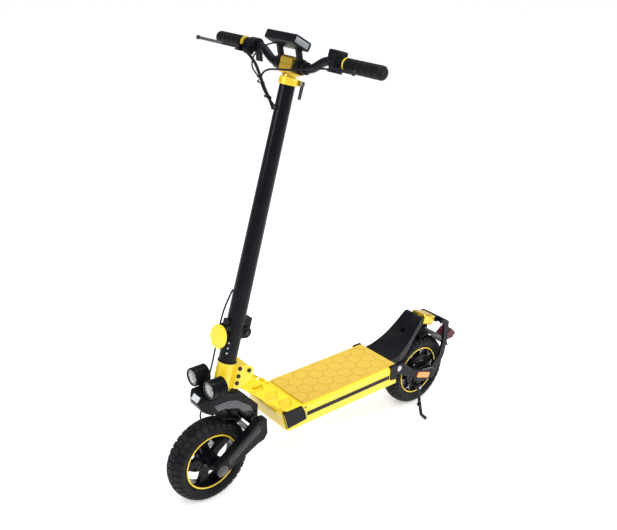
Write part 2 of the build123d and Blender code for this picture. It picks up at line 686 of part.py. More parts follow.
def handlebar():
    """Riser bar with a thick clamped middle."""
    end = GRIP_OUT_Y - 3
    points = [
        (GRIP_AHEAD, -end, GRIP_UP),
        (GRIP_AHEAD, -BEND_OUT_Y, GRIP_UP),
        (0, -BEND_IN_Y, BAR_UP),
        (0, BEND_IN_Y, BAR_UP),
        (GRIP_AHEAD, BEND_OUT_Y, GRIP_UP),
        (GRIP_AHEAD, end, GRIP_UP),
    ]
    path = FilletPolyline(*points, radius=60)
    face = Plane(origin=points[0], z_dir=(0, 1, 0)) * Circle(BAR_DIA / 2)
    bar = sweep(face, path=path)
    middle = steer_rod(CLAMP_DIA, -BULGE_HALF, BULGE_HALF, 0, BAR_UP)
    return on_steer(bar + middle)


def grip():
    """Left ribbed grip, closed at its outer end."""
    body = steer_rod(GRIP_DIA, GRIP_IN_Y, GRIP_OUT_Y, GRIP_AHEAD, GRIP_UP)
    body = fillet(body.edges().sort_by(Axis.Y)[-1], 8)
    for step in range(5):
        y = GRIP_IN_Y + 14 + 20 * step
        groove = steer_rod(GRIP_DIA + 4, y - 1.5, y + 1.5, GRIP_AHEAD, GRIP_UP)
        body = body - (groove - steer_rod(GRIP_DIA - 2.4, y - 2, y + 2, GRIP_AHEAD, GRIP_UP))
    return body - steer_rod(BAR_DIA, 0, GRIP_OUT_Y - 3, GRIP_AHEAD, GRIP_UP)


def bar_ring(dia, y_low, y_high):
    """A ring clamped on the straight part of the bar."""
    ring = steer_rod(dia, y_low, y_high, GRIP_AHEAD, GRIP_UP)
    return ring - steer_rod(BAR_DIA, y_low - 1, y_high + 1, GRIP_AHEAD, GRIP_UP)


def grip_ring():
    """Left lock ring at the inner end of the grip."""
    return bar_ring(GRIP_DIA + 1, GRIP_IN_Y - RING_WIDTH, GRIP_IN_Y)


LEVER_AHEAD = 38.0
LEVER_DROP = 15.0
LEVER_HALF = 5.0
LEVER_PIN = 5.0
LEVER_TIP_AHEAD = 46.0       # lever tip ahead of its pivot
LEVER_REACH = 122.0


def lever_perch():
    """Left brake perch: a clamp round the bar and two cheeks that hold the lever's pin."""
    clamp = bar_ring(32, PERCH_Y - PERCH_HALF, PERCH_Y + PERCH_HALF)
    up = GRIP_UP - LEVER_DROP
    cheeks = Pos(LEVER_AHEAD - 13, PERCH_Y + 2, up) * Box(34, 20, 2 * LEVER_HALF + 8)
    cheeks = fillet(cheeks.edges().filter_by(Axis.Z), 3)
    slot = Pos(LEVER_AHEAD + 3, PERCH_Y + 4, up) * Box(24, 34, 2 * (LEVER_HALF + GAP))
    clear = steer_rod(BAR_DIA, 0, GRIP_OUT_Y, GRIP_AHEAD, GRIP_UP)
    holder = clamp + (cheeks - slot) - clear
    pin = Pos(LEVER_AHEAD, PERCH_Y + 2, up) * Cylinder(LEVER_PIN / 2, 2 * LEVER_HALF + 8)
    return holder + pin


def brake_lever():
    """Left lever: a hub on the pin and a blade out past the grip, ending in a ball."""
    up = GRIP_UP - LEVER_DROP
    pivot_y = PERCH_Y + 2
    hub = Pos(LEVER_AHEAD, pivot_y, up) * Cylinder(7, 2 * LEVER_HALF)
    knee = (LEVER_AHEAD + 10, pivot_y + 52)
    tip = (LEVER_AHEAD + LEVER_TIP_AHEAD, pivot_y + LEVER_REACH)
    outline = [
        (LEVER_AHEAD - 5, pivot_y + 4),
        (knee[0] - 6, knee[1] + 2),
        (tip[0] - 3, tip[1] - 2),
        (tip[0] + 3, tip[1] + 1),
        (knee[0] + 8, knee[1] - 4),
        (LEVER_AHEAD + 6, pivot_y - 3),
    ]
    face = make_face(Polyline(*[(f, y, 0) for f, y in outline], close=True))
    blade = Pos(0, 0, up - 4) * extrude(face, amount=8, dir=(0, 0, 1))
    ball = Pos(tip[0], tip[1], up) * Sphere(6)
    lever = hub + blade + ball
    return lever - Pos(LEVER_AHEAD, pivot_y, up) * Cylinder(LEVER_PIN / 2 + RUNNING, 40)


BUTTON_TRAVEL = 2.5
BUTTON_DIA = 11.0


def switch_pod():
    """Left switch housing on the bar, with a recess for the horn button."""
    pod = Pos(GRIP_AHEAD - 2, SWITCH_Y, GRIP_UP + 14) * Box(40, 30, 30)
    pod = fillet(pod.edges(), 4)
    pod = pod + bar_ring(30, SWITCH_Y - 10, SWITCH_Y + 10)
    pod = pod - steer_rod(BAR_DIA, 0, GRIP_OUT_Y, GRIP_AHEAD, GRIP_UP)
    recess = Rot(0, 90, 0) * Cylinder(BUTTON_DIA / 2 + GAP, 12)
    return pod - Pos(GRIP_AHEAD - 22, SWITCH_Y, GRIP_UP + 19) * recess


def horn_button():
    """Round button that is pressed forward into the switch housing."""
    button = Rot(0, 90, 0) * Cylinder(BUTTON_DIA / 2, 6)
    button = fillet(button.edges().sort_by(Axis.X)[0], 1.5)
    return on_steer(Pos(GRIP_AHEAD - 16 - 3 - BUTTON_TRAVEL - 0.3, SWITCH_Y, GRIP_UP + 19) * button)


THROTTLE_Y = -SWITCH_Y
PADDLE_WIDTH = 9.0


def throttle_housing():
    """Throttle body clamped on the right side of the bar."""
    ring = bar_ring(38, THROTTLE_Y - 12, THROTTLE_Y + 6)
    box = Pos(GRIP_AHEAD + 14, THROTTLE_Y - 3, GRIP_UP - 16) * Box(22, 18, 22)
    box = fillet(box.edges(), 3)
    clear = steer_rod(BAR_DIA, -GRIP_OUT_Y, 0, GRIP_AHEAD, GRIP_UP)
    return on_steer(ring + box - clear)


def throttle_paddle():
    """Thumb paddle that turns about the bar beside its housing."""
    low = THROTTLE_Y + 6 + GAP
    ring = steer_rod(38, low, low + PADDLE_WIDTH, GRIP_AHEAD, GRIP_UP)
    arm = Pos(GRIP_AHEAD - 8, low + PADDLE_WIDTH / 2 + 6, GRIP_UP - 26)
    arm = arm * (Rot(0, 20, 0) * Box(7, PADDLE_WIDTH + 12, 26))
    arm = fillet(arm.edges().filter_by(Axis.Y), 2)
    paddle = ring + arm
    return on_steer(paddle - steer_rod(BAR_DIA + 2 * RUNNING, low - 1, low + 40, GRIP_AHEAD, GRIP_UP))


DISPLAY_WIDTH = 112.0
DISPLAY_DEPTH = 58.0
DISPLAY_THICK = 24.0
DISPLAY_TILT = 28.0
DISPLAY_AHEAD = 30.0         # centre of the display ahead of the bar's middle
DISPLAY_ABOVE = 56.0
STRAP_Y = 37.0


def display_place():
    """Place of the display: over the clamp, facing the rider."""
    flat = Rot(0, -(DISPLAY_TILT - RAKE), 0)
    return Pos(DISPLAY_AHEAD, 0, BAR_UP + DISPLAY_ABOVE) * flat


def display_housing():
    """Display case on two straps that are clamped round the bar."""
    case = Box(DISPLAY_DEPTH, DISPLAY_WIDTH, DISPLAY_THICK)
    case = fillet(case.edges().filter_by(Axis.Y), 6)
    case = case - Pos(0, 0, DISPLAY_THICK / 2) * Box(DISPLAY_DEPTH - 12, DISPLAY_WIDTH - 26, 3)
    shape = display_place() * case
    for side in (1, -1):
        y = side * STRAP_Y
        strap = steer_rod(CLAMP_DIA + 7, y - 6, y + 6, 0, BAR_UP)
        arm = Pos(DISPLAY_AHEAD / 2 + 1, y, BAR_UP + 30) * (Rot(0, 26, 0) * Box(14, 9, 40))
        shape = shape + strap + arm
    return on_steer(shape - steer_rod(CLAMP_DIA, -60, 60, 0, BAR_UP))


def display_screen():
    """Glass window of the display."""
    glass = Pos(0, 0, DISPLAY_THICK / 2 - 0.75) * Box(DISPLAY_DEPTH - 12, DISPLAY_WIDTH - 26, 1.5)
    return on_steer(display_place() * glass)


keep("inner_tube", inner_tube())
keep("bar_clamp", bar_clamp())
keep("handlebar", handlebar())
keep("grips", [on_steer(s) for s in both_sides(grip())])
keep("grip_rings", [on_steer(s) for s in both_sides(grip_ring())])
keep("lever_perches", [on_steer(s) for s in both_sides(lever_perch())])
keep("brake_lever_left", on_steer(brake_lever()))
keep("brake_lever_right", on_steer(mirror(brake_lever(), Plane.XZ)))
keep("switch_pod", on_steer(switch_pod()))
keep("horn_button", horn_button())
keep("throttle_housing", throttle_housing())
keep("throttle_paddle", throttle_paddle())
keep("display_housing", display_housing())
keep("display_screen", display_screen())

# ---- deck ----
NOSE_LEAN = 20.0             # how far the top of the deck's front leans forward
RAIL_CHAMFER = 6.0
STRIP_LOW_Z = 200.0
STRIP_HEIGHT = 13.5
STRIP_DEPTH = 2.0
STRIP_PROUD = 0.6
CAP_THICK = 3.0
REAR_PIVOT_X = REAR_X + REAR_PIVOT_AHEAD
REAR_PIVOT_Z = AXLE_Z + REAR_PIVOT_ABOVE
REAR_PIN_DIA = 14.0
REAR_IN_Y = TYRE_SIDE + 10
REAR_OUT_Y = REAR_IN_Y + 18
NUT_DIA = 19.0
NUT_THICK = 8.0
REFLECTOR_LENGTH = 64.0
REFLECTOR_HEIGHT = 20.0
REFLECTOR_TILT = 19.0        # degrees, front end up
DECK_HALF = DECK_WIDTH / 2
MAT_FRONT_X = DECK_FRONT_X - 58
STRIP_FRONT_X = DECK_FRONT_X - 70
STRIP_REAR_X = DECK_REAR_X + 34


def deck_outline(grow):
    """Deck from the side, its front leaning forward to the top."""
    return [
        (DECK_REAR_X - grow, DECK_BOTTOM_Z - grow),
        (DECK_FRONT_X + grow, DECK_BOTTOM_Z - grow),
        (DECK_FRONT_X + NOSE_LEAN + grow, DECK_TOP_Z + grow),
        (DECK_REAR_X - grow, DECK_TOP_Z + grow),
    ]


def deck_frame():
    """Hollow deck, open at the front, with a tail lug for the rear arm's pivot."""
    deck = side_plate(deck_outline(0), -DECK_HALF, DECK_HALF)
    long_edges = deck.edges().filter_by(Axis.X).sort_by(Axis.Z)[-2:]
    deck = chamfer(long_edges, RAIL_CHAMFER)
    room = block(
        DECK_REAR_X + DECK_WALL, DECK_FRONT_X + 60, DECK_WALL - DECK_HALF, DECK_HALF - DECK_WALL,
        DECK_BOTTOM_Z + DECK_WALL, DECK_TOP_Z - 2 * DECK_WALL,
    )
    deck = deck - room
    for side in (1, -1):
        low, high = sorted((side * (DECK_HALF - STRIP_DEPTH), side * (DECK_HALF + 1)))
        groove = block(STRIP_REAR_X, STRIP_FRONT_X, low, high, STRIP_LOW_Z, STRIP_LOW_Z + STRIP_HEIGHT)
        deck = deck - groove
    lug = block(REAR_PIVOT_X - 12, DECK_REAR_X, -REAR_IN_Y + SIDE_GAP, REAR_IN_Y - SIDE_GAP,
                REAR_PIVOT_Z - 14, REAR_PIVOT_Z + 14)
    deck = deck + fillet(lug.edges().filter_by(Axis.Y).sort_by(Axis.X)[:2], 11)
    bore = rod_y(REAR_PIN_DIA + 2 * RUNNING, -60, 60, REAR_PIVOT_X, REAR_PIVOT_Z)
    return deck - bore


def side_light_strip():
    """Left light strip set in the deck's side groove."""
    return block(STRIP_REAR_X, STRIP_FRONT_X, DECK_HALF - STRIP_DEPTH, DECK_HALF + STRIP_PROUD,
                 STRIP_LOW_Z, STRIP_LOW_Z + STRIP_HEIGHT)


def deck_mat():
    """Rubber mat on the deck, square to the kickplate behind."""
    mat = block(DECK_REAR_X + 4, MAT_FRONT_X, -MAT_WIDTH / 2, MAT_WIDTH / 2, DECK_TOP_Z, DECK_TOP_Z + MAT_THICK)
    return fillet(mat.edges().filter_by(Axis.Z), 8)


def corner_cap(outline):
    """Left corner cap that wraps the deck's side and the edge of its top."""
    cap = side_plate(outline, MAT_WIDTH / 2 + GAP, DECK_HALF + CAP_THICK)
    core = side_plate(deck_outline(0), -DECK_HALF, DECK_HALF)
    core = chamfer(core.edges().filter_by(Axis.X).sort_by(Axis.Z)[-2:], RAIL_CHAMFER)
    cap = cap - core
    return cap.solids().sort_by(SortBy.VOLUME)[-1]


def corner_caps():
    """The four moulded corner caps."""
    top = DECK_TOP_Z + CAP_THICK
    front = [
        (DECK_FRONT_X + NOSE_LEAN + 1, top),
        (DECK_FRONT_X - 46, top),
        (DECK_FRONT_X - 60, STRIP_LOW_Z + 18),
        (DECK_FRONT_X - 66, STRIP_LOW_Z - 8),
        (DECK_FRONT_X + 3, STRIP_LOW_Z - 14),
    ]
    rear = [
        (DECK_REAR_X, top),
        (DECK_REAR_X + 32, top),
        (DECK_REAR_X + 30, STRIP_LOW_Z - 4),
        (DECK_REAR_X, STRIP_LOW_Z - 10),
    ]
    return both_sides(corner_cap(front)) + both_sides(corner_cap(rear))


def nose_panel():
    """Folded front panel that closes the deck, with a rolled lip along its top."""
    lean = degrees(atan2(NOSE_LEAN, DECK_TOP_Z - DECK_BOTTOM_Z))
    height = hypot(NOSE_LEAN, DECK_TOP_Z - DECK_BOTTOM_Z)
    half = MAT_WIDTH / 2
    panel = Pos(1.5, 0, height / 2) * Box(3, 2 * half, height)
    roll = Pos(5.5, 0, height - 1) * (Rot(90, 0, 0) * Cylinder(5, 2 * half - 30))
    panel = panel + roll
    return Pos(DECK_FRONT_X, 0, DECK_BOTTOM_Z) * (Rot(0, lean, 0) * panel)


def battery_pack():
    """Battery that fills most of the deck's room."""
    return block(DECK_REAR_X + 24, DECK_FRONT_X - 20, -74, 74, DECK_BOTTOM_Z + DECK_WALL, DECK_TOP_Z - 12)


# ---- neck plates between the head tube and the deck ----
PLATE_THICK = 5.0
PLATE_IN_Y = GUSSET_HALF
BOLT_DIA = 6.0
BOLT_HEAD_DIA = 12.0
PLATE_FOOT_X = DECK_FRONT_X - 48
BOLT_PLACES = [(-24, 30), (-24, 7), (-24, -14), (-58, 22)]


def gusset_spot(behind, above):
    """A place on the gusset's side, from the steering axis and the head tube's middle."""
    return STEER.from_local_coords(Vector(behind, 0, (LOW_END + TOP_END) / 2 + above))


def neck_plate():
    """Left plate: flat on the gusset, then bent out and down to the deck's edge."""
    inner = [gusset_spot(-14, 38), gusset_spot(-14, -30), gusset_spot(-46, -34), gusset_spot(-78, 0),
             gusset_spot(-72, 30), gusset_spot(-50, 38)]
    cheek = rounded_plate([(v.X, v.Z) for v in inner], 8, PLATE_IN_Y, PLATE_IN_Y + PLATE_THICK)
    top_front, top_rear = gusset_spot(-46, -34), gusset_spot(-78, 0)
    start_y = PLATE_IN_Y + PLATE_THICK / 2
    end_y = DECK_HALF - 2.5
    end_z = DECK_TOP_Z + CAP_THICK + 1.5
    corners = [
        Vector(top_front.X, start_y, top_front.Z),
        Vector(top_rear.X, start_y, top_rear.Z),
        Vector(PLATE_FOOT_X, end_y, end_z),
        Vector(DECK_FRONT_X + NOSE_LEAN - 8, end_y, end_z),
    ]
    middle = sum(corners, Vector(0, 0, 0)) / 4
    normal = (corners[2] - corners[0]).cross(corners[3] - corners[1]).normalized()
    flat = Plane(origin=middle, x_dir=(corners[3] - corners[2]).normalized(), z_dir=normal)
    spots = [flat.to_local_coords(c) for c in corners]
    outline = make_face(Polyline(*[(v.X, v.Y) for v in spots], close=True))
    web = extrude(outline, amount=PLATE_THICK / 2, both=True)
    for share, width, tall in ((0.22, 32, 22), (0.51, 38, 27), (0.80, 44, 27)):
        front = spots[0] + (spots[3] - spots[0]) * share
        rear = spots[1] + (spots[2] - spots[1]) * share
        middle_spot = (front + rear) / 2
        window = Box(width, tall, 20)
        window = fillet(window.edges().filter_by(Axis.Z), 5)
        web = web - Pos(middle_spot.X, middle_spot.Y, 0) * window
    plate = cheek + flat.location * web
    foot = block(PLATE_FOOT_X + 2, DECK_FRONT_X + NOSE_LEAN - 10, end_y - 16, end_y + 2,
                 DECK_TOP_Z + CAP_THICK, DECK_TOP_Z + CAP_THICK + 4)
    plate = plate + foot
    floor = block(DECK_REAR_X, DECK_FRONT_X + 80, 0, DECK_HALF + 20, 0, DECK_TOP_Z + CAP_THICK)
    plate = plate - floor - block(0, FRONT_X, -20, PLATE_IN_Y, 0, 600)
    for behind, above in BOLT_PLACES:
        spot = gusset_spot(behind, above)
        plate = plate - rod_y(BOLT_DIA, 0, DECK_HALF, spot.X, spot.Z)
    return plate


def neck_bolts():
    """Bolts that hold both plates to the gusset."""
    bolts = []
    outer = PLATE_IN_Y + PLATE_THICK
    for behind, above in BOLT_PLACES:
        spot = gusset_spot(behind, above)
        head = rod_y(BOLT_HEAD_DIA, outer, outer + 5, spot.X, spot.Z)
        head = fillet(head.edges().sort_by(Axis.Y)[-1], 1.5)
        bolt = head + rod_y(BOLT_DIA, PLATE_IN_Y, outer, spot.X, spot.Z)
        bolts = bolts + both_sides(bolt)
    return bolts


keep("deck_frame", deck_frame())
keep("side_light_strips", both_sides(side_light_strip()))
keep("deck_mat", deck_mat())
keep("corner_caps", corner_caps())
keep("nose_panel", nose_panel())
keep("battery_pack", battery_pack())
keep("neck_plates", both_sides(neck_plate()))
keep("neck_bolts", neck_bolts())

# ---- kickplate behind the mat ----
KICK_FOOT_HALF = 58.0
KICK_TOP_HALF = 36.0
SHOCK_TOP_X = REAR_X + 16
SHOCK_TOP_Z = AXLE_Z + 203
SHOCK_END_X = REAR_X - 82
SHOCK_END_Z = AXLE_Z + 169
SHOCK_PIN_DIA = 8.0
EYE_DIA = 18.0
EYE_HALF = 8.0
LUG_THICK = 6.0


def kickplate():
    """Raised rear footrest with a rolled top, a hook slot and the upper shock lugs."""
    foot_x = DECK_REAR_X
    top_x = SHOCK_TOP_X + 12
    top_z = SHOCK_TOP_Z + 12
    outline = make_face(
        Polyline((foot_x, 0, DECK_TOP_Z - 18), (foot_x, 0, DECK_TOP_Z + 5))
        + Spline((foot_x, 0, DECK_TOP_Z + 5), (foot_x - 50, 0, DECK_TOP_Z + 16),
                 (foot_x - 104, 0, DECK_TOP_Z + 52), (top_x, 0, top_z))
        + Polyline((top_x, 0, top_z), (top_x - 12, 0, top_z), (top_x - 16, 0, top_z - 12),
                   (top_x - 4, 0, top_z - 32))
        + Spline((top_x - 4, 0, top_z - 32), (foot_x - 108, 0, DECK_TOP_Z + 26),
                 (foot_x - 62, 0, DECK_TOP_Z - 12), (foot_x - 20, 0, DECK_TOP_Z - 18),
                 (foot_x, 0, DECK_TOP_Z - 18))
    )
    solid = extrude(outline, amount=KICK_FOOT_HALF, dir=(0, 1, 0), both=True)
    plan = make_face(Polyline(
        (foot_x + 1, KICK_FOOT_HALF, 0), (foot_x - 46, KICK_FOOT_HALF - 1, 0), (top_x, KICK_TOP_HALF + 3, 0),
        (top_x - 30, KICK_TOP_HALF, 0), (top_x - 30, -KICK_TOP_HALF, 0), (top_x, -KICK_TOP_HALF - 3, 0),
        (foot_x - 46, 1 - KICK_FOOT_HALF, 0), (foot_x + 1, -KICK_FOOT_HALF, 0), close=True))
    solid = solid & extrude(plan, amount=500, dir=(0, 0, 1))
    solid = solid - block(foot_x - 118, foot_x - 104, -9, 9, DECK_TOP_Z + 42, DECK_TOP_Z + 90)
    for side in (1, -1):
        low, high = sorted((side * (EYE_HALF + GAP), side * (EYE_HALF + GAP + LUG_THICK)))
        lug = block(SHOCK_TOP_X - 2, top_x, low, high, SHOCK_TOP_Z - 9, SHOCK_TOP_Z + 9)
        solid = solid + lug + rod_y(EYE_DIA, low, high, SHOCK_TOP_X, SHOCK_TOP_Z)
    swing = rod_y(EYE_DIA + 4, -EYE_HALF - GAP, EYE_HALF + GAP, SHOCK_TOP_X, SHOCK_TOP_Z)
    pin = rod_y(SHOCK_PIN_DIA, -EYE_HALF - GAP, EYE_HALF + GAP, SHOCK_TOP_X, SHOCK_TOP_Z)
    return solid - swing + pin


# ---- rear arm, guard, light and stand ----
LOOP_THICK = 8.0
LOOP_IN_Y = REAR_IN_Y
GUARD_GAP = 16.0
STAND_X = REAR_X + 52
STAND_Z = AXLE_Z - 22
STAND_PIN_DIA = 8.0
STAND_FOOT_Y = 124.0
STAND_FOOT_X = STAND_X + 9


def rear_arm():
    """Swinging arm: a beam each side of the wheel and a loop that rises behind it."""
    beam = [
        (REAR_PIVOT_X + 12, REAR_PIVOT_Z + 12),
        (REAR_PIVOT_X + 10, REAR_PIVOT_Z - 16),
        (REAR_X + 60, AXLE_Z + 6),
        (REAR_X + 8, AXLE_Z - 24),
        (REAR_X - 44, AXLE_Z - 24),
        (REAR_X - 56, AXLE_Z - 4),
        (REAR_X - 30, AXLE_Z + 20),
        (REAR_X + 20, AXLE_Z + 26),
        (REAR_X + 70, AXLE_Z + 44),
        (REAR_PIVOT_X - 20, REAR_PIVOT_Z + 14),
    ]
    side_beam = rounded_plate(beam, 5, REAR_IN_Y, REAR_OUT_Y)
    side_beam = chamfer(side_beam.faces().sort_by(Axis.Y)[-1].edges(), 3)
    loop = [
        (REAR_X - 36, AXLE_Z - 22),
        (REAR_X - 68, AXLE_Z - 8),
        (REAR_X - 98, AXLE_Z + 42),
        (REAR_X - 108, AXLE_Z + 110),
        (REAR_X - 104, AXLE_Z + 172),
        (REAR_X - 86, AXLE_Z + 184),
        (REAR_X - 62, AXLE_Z + 184),
        (REAR_X - 62, AXLE_Z + 174),
        (REAR_X - 80, AXLE_Z + 168),
        (REAR_X - 86, AXLE_Z + 104),
        (REAR_X - 72, AXLE_Z + 46),
        (REAR_X - 34, AXLE_Z + 10),
    ]
    side_loop = rounded_plate(loop, 3, LOOP_IN_Y, LOOP_IN_Y + LOOP_THICK)
    half = side_beam + side_loop
    half = half - rod_y(AXLE_DIA, 0, 100, REAR_X, AXLE_Z)
    half = half - rod_y(NUT_DIA + 2, REAR_OUT_Y - NUT_THICK - GAP, REAR_OUT_Y + 1, REAR_X, AXLE_Z)
    half = half - rod_y(REAR_PIN_DIA, 0, 100, REAR_PIVOT_X, REAR_PIVOT_Z)
    arm = half + mirror(half, Plane.XZ)
    bridge = block(REAR_X - 103, REAR_X - 93, -LOOP_IN_Y, LOOP_IN_Y, AXLE_Z + 158, AXLE_Z + 174)
    arm = arm + bridge
    for side in (1, -1):
        low, high = sorted((side * (EYE_HALF + GAP), side * (EYE_HALF + GAP + LUG_THICK)))
        lug = block(REAR_X - 95, SHOCK_END_X, low, high, SHOCK_END_Z - 9, SHOCK_END_Z + 3)
        arm = arm + lug + rod_y(EYE_DIA, low, high, SHOCK_END_X, SHOCK_END_Z)
    arm = arm + rod_y(SHOCK_PIN_DIA - 2, -EYE_HALF - GAP, EYE_HALF + GAP, SHOCK_END_X, SHOCK_END_Z)
    ear = rod_y(22, REAR_OUT_Y - 2, REAR_OUT_Y + 9, STAND_X, STAND_Z)
    web = block(STAND_X - 11, STAND_X + 11, REAR_OUT_Y - 8, REAR_OUT_Y, STAND_Z, AXLE_Z + 8)
    eye_low = REAR_OUT_Y + 9 + GAP
    stud = rod_y(STAND_PIN_DIA, REAR_OUT_Y, eye_low + 14, STAND_X, STAND_Z)
    head = rod_y(15, eye_low + 10 + GAP, eye_low + 14, STAND_X, STAND_Z)
    return arm + web + ear + stud + head


def rear_pin():
    """Pivot pin through the deck's lug, clamped in both beams, with its heads."""
    pin = rod_y(REAR_PIN_DIA, -REAR_OUT_Y, REAR_OUT_Y, REAR_PIVOT_X, REAR_PIVOT_Z)
    for side in (1, -1):
        low, high = sorted((side * REAR_OUT_Y, side * (REAR_OUT_Y + 4)))
        pin = pin + rod_y(20, low, high, REAR_PIVOT_X, REAR_PIVOT_Z)
    return pin


def rear_axle():
    """Motor axle with spacers against the drum and a sunk nut at each end."""
    end = REAR_OUT_Y - GAP
    axle = rod_y(AXLE_DIA, -end, end, REAR_X, AXLE_Z)
    for side in (1, -1):
        low, high = sorted((side * (MOTOR_HALF + SIDE_GAP), side * REAR_IN_Y))
        axle = axle + rod_y(22, low, high, REAR_X, AXLE_Z)
        low, high = sorted((side * (REAR_OUT_Y - NUT_THICK - GAP), side * end))
        axle = axle + rod_y(NUT_DIA, low, high, REAR_X, AXLE_Z)
    return axle


def rear_mudguard():
    """Guard over the top and back of the rear wheel, held between the loop's sides."""
    inner = TYRE_R + GUARD_GAP
    outer = inner + 2.5
    ring = lathe_y([(inner, -39), (outer, -39), (outer, 39), (inner, 39)], REAR_X, AXLE_Z)
    wedge = [(0, 0)]
    for angle in (80, 105, 130, 155):
        wedge.append((230 * cos(radians(angle)), 230 * sin(radians(angle))))
    guard = ring & (Pos(REAR_X, 0, AXLE_Z) * side_plate(wedge, -44, 44))
    for side in (1, -1):
        angle = radians(131)
        tab_x = REAR_X + (inner + 1) * cos(angle)
        tab_z = AXLE_Z + (inner + 1) * sin(angle)
        low, high = sorted((side * 38, side * LOOP_IN_Y))
        guard = guard + block(tab_x - 5, tab_x + 5, low, high, tab_z - 5, tab_z + 5)
    return guard


def tail_light():
    """Faceted tail light on the back of the guard."""
    root = radians(149)
    seat_x = REAR_X + (TYRE_R + GUARD_GAP + 1) * cos(root)
    seat_z = AXLE_Z + (TYRE_R + GUARD_GAP + 1) * sin(root)
    outline = [
        (seat_x - 2, seat_z - 6),
        (seat_x + 4, seat_z + 10),
        (seat_x - 34, seat_z + 36),
        (seat_x - 42, seat_z + 36),
        (TAIL_X, seat_z + 14),
        (TAIL_X + 14, seat_z - 4),
        (seat_x - 18, seat_z - 4),
    ]
    light = side_plate(outline, -22, 22)
    light = chamfer(light.faces().sort_by(Axis.Y)[-1].edges(), 2.5)
    light = chamfer(light.faces().sort_by(Axis.Y)[0].edges(), 2.5)
    guard = rod_y(2 * (TYRE_R + GUARD_GAP + 2.5), -60, 60, REAR_X, AXLE_Z)
    return light - guard


def side_reflector():
    """Left amber reflector on the beam's outer face."""
    long, high = REFLECTOR_LENGTH / 2, REFLECTOR_HEIGHT / 2
    plate = block(-long, long, REAR_OUT_Y, REAR_OUT_Y + 3, -high, high)
    plate = fillet(plate.edges().filter_by(Axis.Y), 5)
    return Pos(REAR_X + 17, 0, AXLE_Z + 6) * (Rot(0, -REFLECTOR_TILT, 0) * plate)


def kickstand():
    """Kickstand leg: an eye on the arm's stud, a leg that leans out and a turned-out toe."""
    eye_low = REAR_OUT_Y + 9 + GAP
    eye = rod_y(20, eye_low, eye_low + 10, STAND_X, STAND_Z)
    dia = 11.0
    points = [
        (STAND_X, eye_low + 5, STAND_Z - 3),
        (STAND_X + 4, eye_low + 20, STAND_Z - 50),
        (STAND_FOOT_X, STAND_FOOT_Y - 14, 14),
        (STAND_FOOT_X - 6, STAND_FOOT_Y + 6, dia / 2),
    ]
    path = FilletPolyline(*points, radius=12)
    face = Plane(origin=points[0], z_dir=path.tangent_at(0)) * Circle(dia / 2)
    leg = sweep(face, path=path) + eye
    floor = block(STAND_X - 100, STAND_X + 100, 0, 300, -50, 0)
    bore = rod_y(STAND_PIN_DIA + 2 * RUNNING, 0, 200, STAND_X, STAND_Z)
    seat = rod_y(15 + 2 * GAP, eye_low + 10, eye_low + 60, STAND_X, STAND_Z)
    return leg - floor - bore - seat


# ---- rear shock ----
SHOCK_WIDTH = 60.0
SHOCK_THICK = 36.0
ROD_DIA = 12.0
TUBE_START = 13.0
TUBE_END = 68.0
ROD_START = 40.0


def shock_place():
    """Place of the shock: its upper eye, with +Z towards the lower eye."""
    run = Vector(SHOCK_END_X - SHOCK_TOP_X, 0, SHOCK_END_Z - SHOCK_TOP_Z)
    return Plane(origin=(SHOCK_TOP_X, 0, SHOCK_TOP_Z), x_dir=(0, 1, 0), z_dir=run)


def shock_tube():
    """Upper half of the shock: an eye and a broad rounded body, bored for the rod."""
    eye = Rot(0, 90, 0) * Cylinder(EYE_DIA / 2, 2 * EYE_HALF)
    neck = Pos(0, 0, TUBE_START / 2 + 3) * Box(2 * EYE_HALF, 12, TUBE_START)
    body = Box(SHOCK_WIDTH, SHOCK_THICK, TUBE_END - TUBE_START)
    body = Pos(0, 0, (TUBE_START + TUBE_END) / 2) * fillet(body.edges().filter_by(Axis.Z), 10)
    body = chamfer(body.faces().sort_by(Axis.Z)[-1].edges() + body.faces().sort_by(Axis.Z)[0].edges(), 2)
    shape = eye + neck + body
    shape = shape - Pos(0, 0, TUBE_END) * Cylinder(ROD_DIA / 2 + RUNNING, 2 * (TUBE_END - TUBE_START - 4))
    return shock_place().location * (shape - Rot(0, 90, 0) * Cylinder(SHOCK_PIN_DIA / 2 + RUNNING, 40))


def shock_rod():
    """Lower half of the shock: a rod that slides in the body, with its eye."""
    run = hypot(SHOCK_END_X - SHOCK_TOP_X, SHOCK_END_Z - SHOCK_TOP_Z)
    rod = Pos(0, 0, (ROD_START + run - 5) / 2) * Cylinder(ROD_DIA / 2, run - 5 - ROD_START)
    eye = Pos(0, 0, run) * (Rot(0, 90, 0) * Cylinder(EYE_DIA / 2, 2 * EYE_HALF))
    bore = Pos(0, 0, run) * (Rot(0, 90, 0) * Cylinder(SHOCK_PIN_DIA / 2 + 0.6, 40))
    return shock_place().location * (rod + eye - bore)


keep("kickplate", kickplate())
keep("rear_arm", rear_arm())
keep("rear_pin", rear_pin())
keep("rear_axle", rear_axle())
keep("rear_mudguard", rear_mudguard())
keep("tail_light", tail_light())
keep("side_reflectors", both_sides(side_reflector()))
keep("kickstand_leg", kickstand())
keep("shock_tube", shock_tube())
keep("shock_rod", shock_rod())

# ---- cables, by points from the steering axis ----
CABLE_DIA = 5.0
BUNDLE_DIA = 8.0


def steer_cord(points, dia):
    """A cord whose points are forward of the axis, to the left of it and up it."""
    return on_steer(cord(points, dia))


